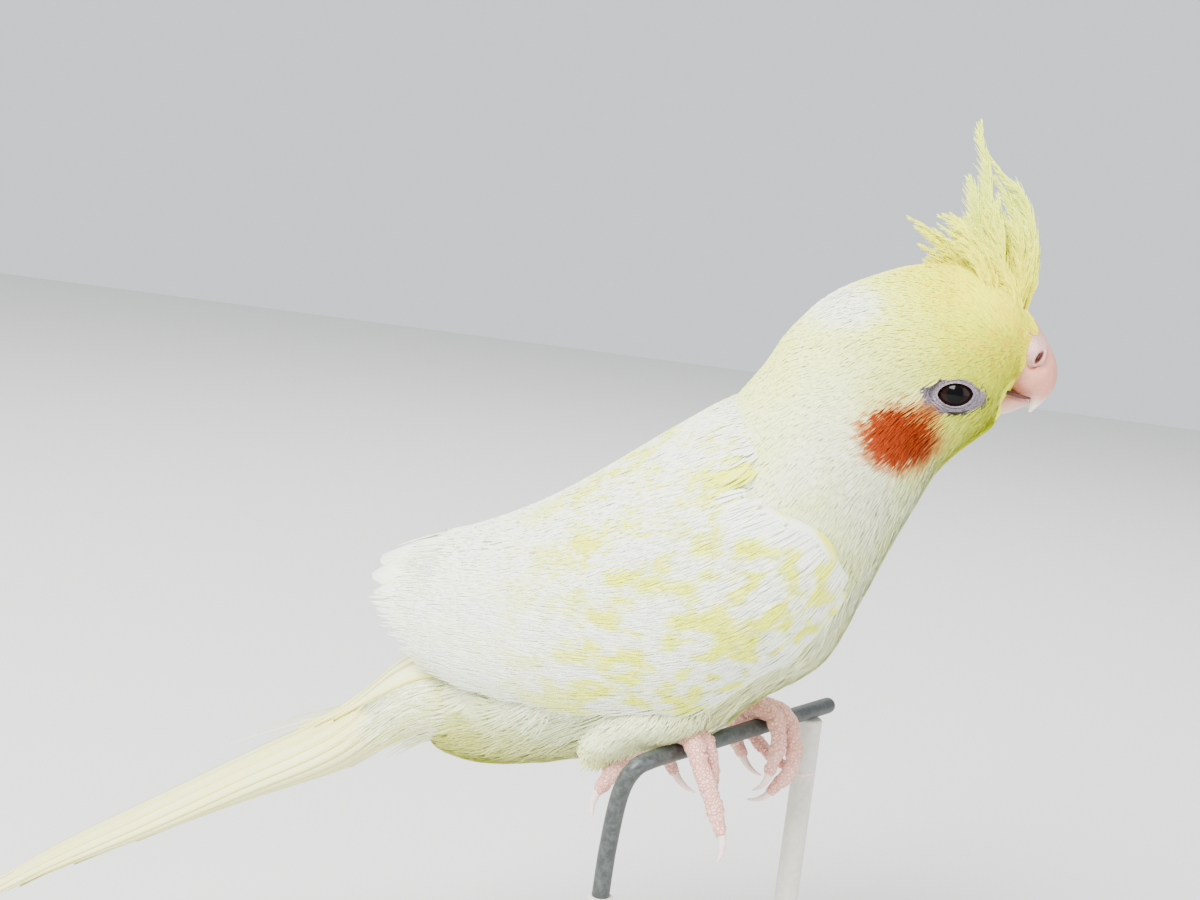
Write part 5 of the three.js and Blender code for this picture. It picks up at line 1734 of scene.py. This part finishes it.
@dataclass
class Foot:
    """A gripping foot: two toes in front, two behind, a short shank and four claws."""

    side: int
    label: str
    ahead: tuple[float, float, float] = (0.93, -0.37, 0.0)
    scute_mm: float = 1.5
    lump_mm: float = 0.75

    def toes(self) -> list[list[list[float]]]:
        """Give each toe's points: forward, along the wire, up and radius."""
        if self.side < 0:
            return [
                [[-2, 0, 1.8, 2.0], [3, -1, 1.5, 1.9], [6.4, -1.8, -3, 1.7], [9.8, -2.3, -8.4, 1.6],
                 [12.4, -2.6, -13.4, 1.2]],
                [[-2, 1, 1.8, 2.0], [3, 2, 1.4, 1.8], [5.4, 2.4, -3, 1.6], [6.4, 2.6, -8.6, 1.2]],
                [[-1, -1, 1.8, 2.0], [-5.2, -2.0, 0.6, 1.9], [-9.4, -3.6, -5.4, 1.8],
                 [-12.8, -4.6, -12, 1.4]],
                [[-1, 0, 1.8, 2.0], [-4.2, 2, 0.4, 1.7], [-4.6, 3, -4.4, 1.4], [-3, 3.6, -7.2, 1.2]],
            ]
        return [
            [[-2, -1, 1.8, 2.0], [3, -1.6, 1.4, 1.8], [5.2, -2, -3.4, 1.6], [4.4, -2.4, -9.6, 1.2]],
            [[-2, 0, 1.8, 2.0], [3.4, 1, 1.6, 1.8], [6.6, 1.4, -4, 1.6], [6.4, 1.6, -10, 1.5],
             [3.2, 1.2, -15, 1.1]],
            [[-1, -1, 1.8, 2.0], [-4.4, -1, 0.6, 1.8], [-5.6, -1, -4.6, 1.5], [-3.2, -1, -8.4, 1.2]],
            [[-1, 1, 1.8, 2.0], [-4.4, 2.4, 0.6, 1.7], [-5.2, 3.6, -4.2, 1.4],
             [-1, 4.6, -8.6, 1.2], [3.4, 5, -10.6, 1]],
        ]

    def palm(self) -> np.ndarray:
        """Give the wire's point under this foot."""
        return on_wire(0.0 if self.side < 0 else 2 * FOOT_Y / WIRE_DIR[1])

    def place(self, row: Sequence[float]) -> np.ndarray:
        """Turn forward, along, up into the bird's frame round this foot's place on the wire."""
        flat = self.palm() * [1, 1, 0] + np.array(self.ahead) * row[0] + WIRE_DIR * row[1]
        return flat + np.array([0, 0, row[2]])

    def claw(self, toe: Sequence[Sequence[float]]) -> np.ndarray:
        """Give a claw's points: on from the toe's end and curling in towards the wire.

        Args:
            toe: the toe's points.

        Returns:
            Rows of x, y, z and radius.
        """
        p, q = self.place(toe[-1]), self.place(toe[-2])
        way = unit(p - q)
        inward = unit(self.place([0, toe[-1][1], -6]) - p)
        curl = unit(inward - way * np.dot(inward, way))
        steps = [(-0.4, 0, 0.66), (0.9, 0, 0.66), (2.2, 0.15, 0.58), (4.0, 0.9, 0.40), (5.4, 2.2, 0.16)]
        return np.array([[*(p + way * d + curl * k), toe[-1][3] * f] for d, k, f in steps])

    def build(self, skin: bpy.types.Material, horn: bpy.types.Material) -> None:
        """Build the scaled toes and shank, then the claws.

        Args:
            skin: the toes' material.
            horn: the claws'.
        """
        parts = []
        s = np.linspace(0, 1, 90)
        for toe in self.toes():
            line = np.array([[*self.place(row), row[3]] for row in toe])
            length = np.linalg.norm(np.diff(line[:, :3], axis=0), axis=1).sum()
            scutes = 1 + 0.045 * np.abs(np.sin(math.pi * s * length / self.scute_mm)) ** 0.6
            pads = 1 + 0.06 * np.sin(TURN * s * (len(toe) - 1) - 0.6)
            points, quads, _ = tube(line, 30, scutes * pads, 90)
            lumps = np.stack([noise(points, self.lump_mm, 60 + k) for k in range(3)], -1) - 0.5
            parts.append((points + 0.5 * lumps, quads))
        x, y, _ = self.palm()
        shank = [[x - 6, y + self.side * 0.5, 9, 1.7], [x - 3, y, 4.6, 1.9], [x - 0.6, y, 1.8, 2.2]]
        parts.append(tube(shank, 28, along=30)[:2])
        dress(make_piece(f"toes_{self.label}", *joined(parts)), skin, "foot_skin", f"foot_{self.label}")
        for k, toe in enumerate(self.toes(), 1):
            claw = tube(self.claw(toe), 20, along=24)[:2]
            dress(make_piece(f"claw_horn_{self.label}_{k}", *claw), horn, "claw", f"claw_{self.label}_{k}")


@dataclass
class Perch:
    """The cut length of bent wire with its two rods and flat base."""

    rod_r: float = 2.5
    near_top: float = -30.06
    base_size: tuple[float, float, float] = (110.0, 90.0, 6.0)
    corner: float = 4.0

    def wire_line(self) -> np.ndarray:
        """Give the wire's points: down beside the right foot, round the bend, then level."""
        x, y, _ = on_wire(-10.5)
        down = [[x - 5.4, y + 1.6, -30], [x - 5.0, y + 1.2, -20], [x - 3.8, y + 0.2, -9],
                [x - 1.6, y - 0.6, -3.4]]
        level = [on_wire(t) for t in (-7.5, 2, 14, 28, 40, 52)]
        return np.array([[*p, WIRE_R] for p in [*down, *level]])

    @staticmethod
    def turned(name: str, grid: np.ndarray, node: str, finish: bpy.types.Material) -> None:
        """Add a turned or squared piece from its rings, its flats kept flat."""
        piece = make_piece(name, grid, grid_faces(1, len(grid), grid.shape[1], round_it=True))
        piece.data.polygons.foreach_set("use_smooth", np.zeros(len(piece.data.polygons), bool))
        piece.data.update()
        dress(piece, finish, "stand", node)

    def rod(self, x: float, y: float, top: float) -> np.ndarray:
        """Turn one upright rod with a small collar on the base and a rounded top edge.

        Args:
            x: its place forward.
            y: its place to the left.
            top: its top's height.

        Returns:
            Its rings.
        """
        foot = -PERCH_HEIGHT + self.base_size[2] + 0.02
        r = self.rod_r
        profile = np.array([[0.01, foot], [r + 1.2, foot], [r + 1.2, foot + 1.4], [r + 0.8, foot + 1.8],
                            [r, foot + 1.9], [r, top - 0.3], [r - 0.3, top], [0.01, top]])
        angle = np.linspace(0, TURN, 48, endpoint=False)
        return stacked(x + profile[:, :1] * np.cos(angle), y + profile[:, :1] * np.sin(angle),
                       profile[:, 1:])

    def base(self) -> np.ndarray:
        """Stack rounded rectangles from the base's underside to its top.

        A corner's point is the corner's centre plus the radius times cosine and sine.

        Returns:
            Its rings, the first and last shrunk to its middle.
        """
        long, wide, thick = self.base_size
        rings = np.array([(1.0, 0.0), (0.3, 0.3), (0.0, 1.0), (0.0, thick - 1.2), (0.35, thick - 0.4),
                          (1.2, thick)])
        angle = np.linspace(0, TURN, 64, endpoint=False)
        reach = self.corner - rings[:, :1]
        x, y = ((size / 2 - self.corner) * np.sign(wave(angle + 1e-6)) + reach * wave(angle)
                for size, wave in ((long, np.cos), (wide, np.sin)))
        grid = stacked(x - BODY_SHIFT, y, rings[:, 1:] - PERCH_HEIGHT)
        ends = between(grid.mean(1, keepdims=True), grid, 0.001)
        return np.concatenate([ends[:1], grid, ends[-1:]])

    def build(self, enamel: bpy.types.Material, paint: bpy.types.Material) -> None:
        """Build wire, rods and base.

        Args:
            enamel: the wire's material.
            paint: the stand's.
        """
        line, far = self.wire_line(), on_wire(46)
        dress(make_piece("wire_enamel", *tube(line, 40, along=160)[:2]), enamel, "wire", "perch_wire")
        self.turned("rod_near", self.rod(*line[0, :2], self.near_top), "stand_rod_near", paint)
        self.turned("rod_far", self.rod(*far[:2], -WIRE_R - 1.9), "stand_rod_far", paint)
        self.turned("stand_plate", self.base(), "stand_base", paint)


@dataclass
class Studio:
    """Plain floor, soft lights and the camera of the photo.

    A light holds its place and aim in metres, its side in metres and its power in watts.
    """

    focal_px: float = 1600.0
    azimuth: float = 10.0
    pitch: float = 9.0
    roll: float = 6.5
    distance: float = 305.0
    foot_px: tuple[float, float] = (680.0, 742.0)
    image: tuple[int, int] = (1200, 900)
    floor_half: float = 1600.0
    lights: dict = field(default_factory=lambda: {
        "key": ((-0.35, -0.8, 0.95), (0.0, 0.0, 0.13), 0.6, 56.0),
        "fill": ((0.9, -0.4, 0.4), (0.0, 0.0, 0.11), 0.7, 6.0),
        "rim": ((0.0, 0.7, 0.9), (0.0, 0.0, 0.13), 0.5, 8.0)})

    def camera(self) -> None:
        """Set the camera so that the right foot's sole falls on its place in the photo."""
        a, e, r = (math.radians(v) for v in (self.azimuth, self.pitch, self.roll))
        ahead = np.array([-math.sin(a) * math.cos(e), math.cos(a) * math.cos(e), -math.sin(e)])
        right = np.array([math.cos(a), math.sin(a), 0.0])
        up = np.cross(right, ahead)
        top = up * math.cos(r) - right * math.sin(r)
        side = right * math.cos(r) + up * math.sin(r)
        du = (self.foot_px[0] - self.image[0] / 2) / self.focal_px
        dv = (self.image[1] / 2 - self.foot_px[1]) / self.focal_px
        centre = np.array([0, -FOOT_Y, 0]) - (ahead + side * du + top * dv) * self.distance
        centre = (centre + np.array([BODY_SHIFT, 0, PERCH_HEIGHT])) * 0.001
        data = bpy.data.cameras.new("camera")
        data.sensor_width = 36.0
        data.lens = self.focal_px / self.image[0] * data.sensor_width
        data.clip_start = 0.01
        obj = bpy.data.objects.new("camera", data)
        turn = Matrix((side, top, -ahead)).transposed()
        obj.matrix_world = Matrix.Translation(Vector(centre)) @ turn.to_4x4()
        bpy.context.scene.collection.objects.link(obj)
        bpy.context.scene.camera = obj

    def build(self) -> None:
        """Set floor, world, lights and camera."""
        s = self.floor_half
        grid = np.array([[[-s, -s, 0], [s, -s, 0]], [[-s, s, 0], [s, s, 0]]])
        grid = grid - np.array([BODY_SHIFT, 0, PERCH_HEIGHT + 0.05])
        floor = make_piece("studio_floor", grid, grid_faces(1, 2, 2))
        paper, _, shader = new_material("pale_studio_paper")
        shader.inputs["Base Color"].default_value = srgb("#D4D4D0")
        shader.inputs["Roughness"].default_value = 0.9
        floor.data.materials.append(paper)
        world = bpy.data.worlds.new("studio")
        bpy.context.scene.world = world
        world.use_nodes = True
        background = world.node_tree.nodes["Background"]
        background.inputs[0].default_value = srgb("#EDF2F6")
        background.inputs[1].default_value = 1.2
        for name, (place, aim, size, power) in self.lights.items():
            data = bpy.data.lights.new(name, "AREA")
            data.size, data.energy = size, power
            obj = bpy.data.objects.new(name, data)
            obj.location = place
            obj.rotation_euler = (Vector(aim) - Vector(place)).to_track_quat("-Z", "Y").to_euler()
            bpy.context.scene.collection.objects.link(obj)
        self.camera()


def main() -> None:
    """Build every sub-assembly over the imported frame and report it."""
    logging.basicConfig(level=logging.INFO, format="%(name)s %(message)s")
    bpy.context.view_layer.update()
    plumage = PlumageFinish("feather_vane_soft").build()
    down = PlumageFinish("feather_down", depth=0.05, groove_shade=0.02).build()
    flight = PlumageFinish("feather_vane_flight", barb_mm=0.5, depth=0.35, roughness=0.6).build()
    toe_skin = SkinFinish("toe_skin_scaled_pink", "#E9B5A6", "#C47A68", 0.75, 0.9).build()
    lid_skin = SkinFinish("lid_skin_grey_lilac", "#8A7E8A", "#40343E", 0.45, 0.9, 0.6).build()
    cere_skin = SkinFinish("cere_skin_pale_pink", "#CFA298", "#A87268", 0.6, 0.4).build()
    # The mouth line's dark red is partly skin and partly painted shadow in the join of the bill's halves.
    gape = SkinFinish("gape_skin_and_painted_shadow", "#4A1511", "#260A08", 0.5, 0.3, 0.35).build()
    horn = HornFinish("bill_horn", "#D18C78", "#FBF2DF", (70.2, 74.2)).build()
    low_horn = HornFinish("bill_horn_lower", "#CF9482", "#E6BDAE", (68.5, 72.5)).build()
    claw = HornFinish("claw_horn", "#EBD2CB", "#F3E4DC", (-40.0, -30.0), roughness=0.3).build()
    enamel = MetalPaintFinish("wire_grey_enamel", "#2B2F2E", "#4B4F4D", 0.42).build()
    paint = MetalPaintFinish("stand_stove_enamel", "#CFCBC2", "#C4C0B7", 0.5).build()
    wet = EyeFinish().build()
    flesh = Flesh()
    flesh.build(down)
    Coat().build(plumage)
    for side, label in SIDES:
        Wing(side, label).build(flight)
        Eye(side, label, flesh).build(wet, lid_skin)
        Foot(side, label).build(toe_skin, claw)
    Tail().build(flight)
    Crest().build(down)
    Bill().build(horn, low_horn, cere_skin, gape)
    Perch().build(enamel, paint)
    Studio().build()


if __name__ == "__main__":
    main()
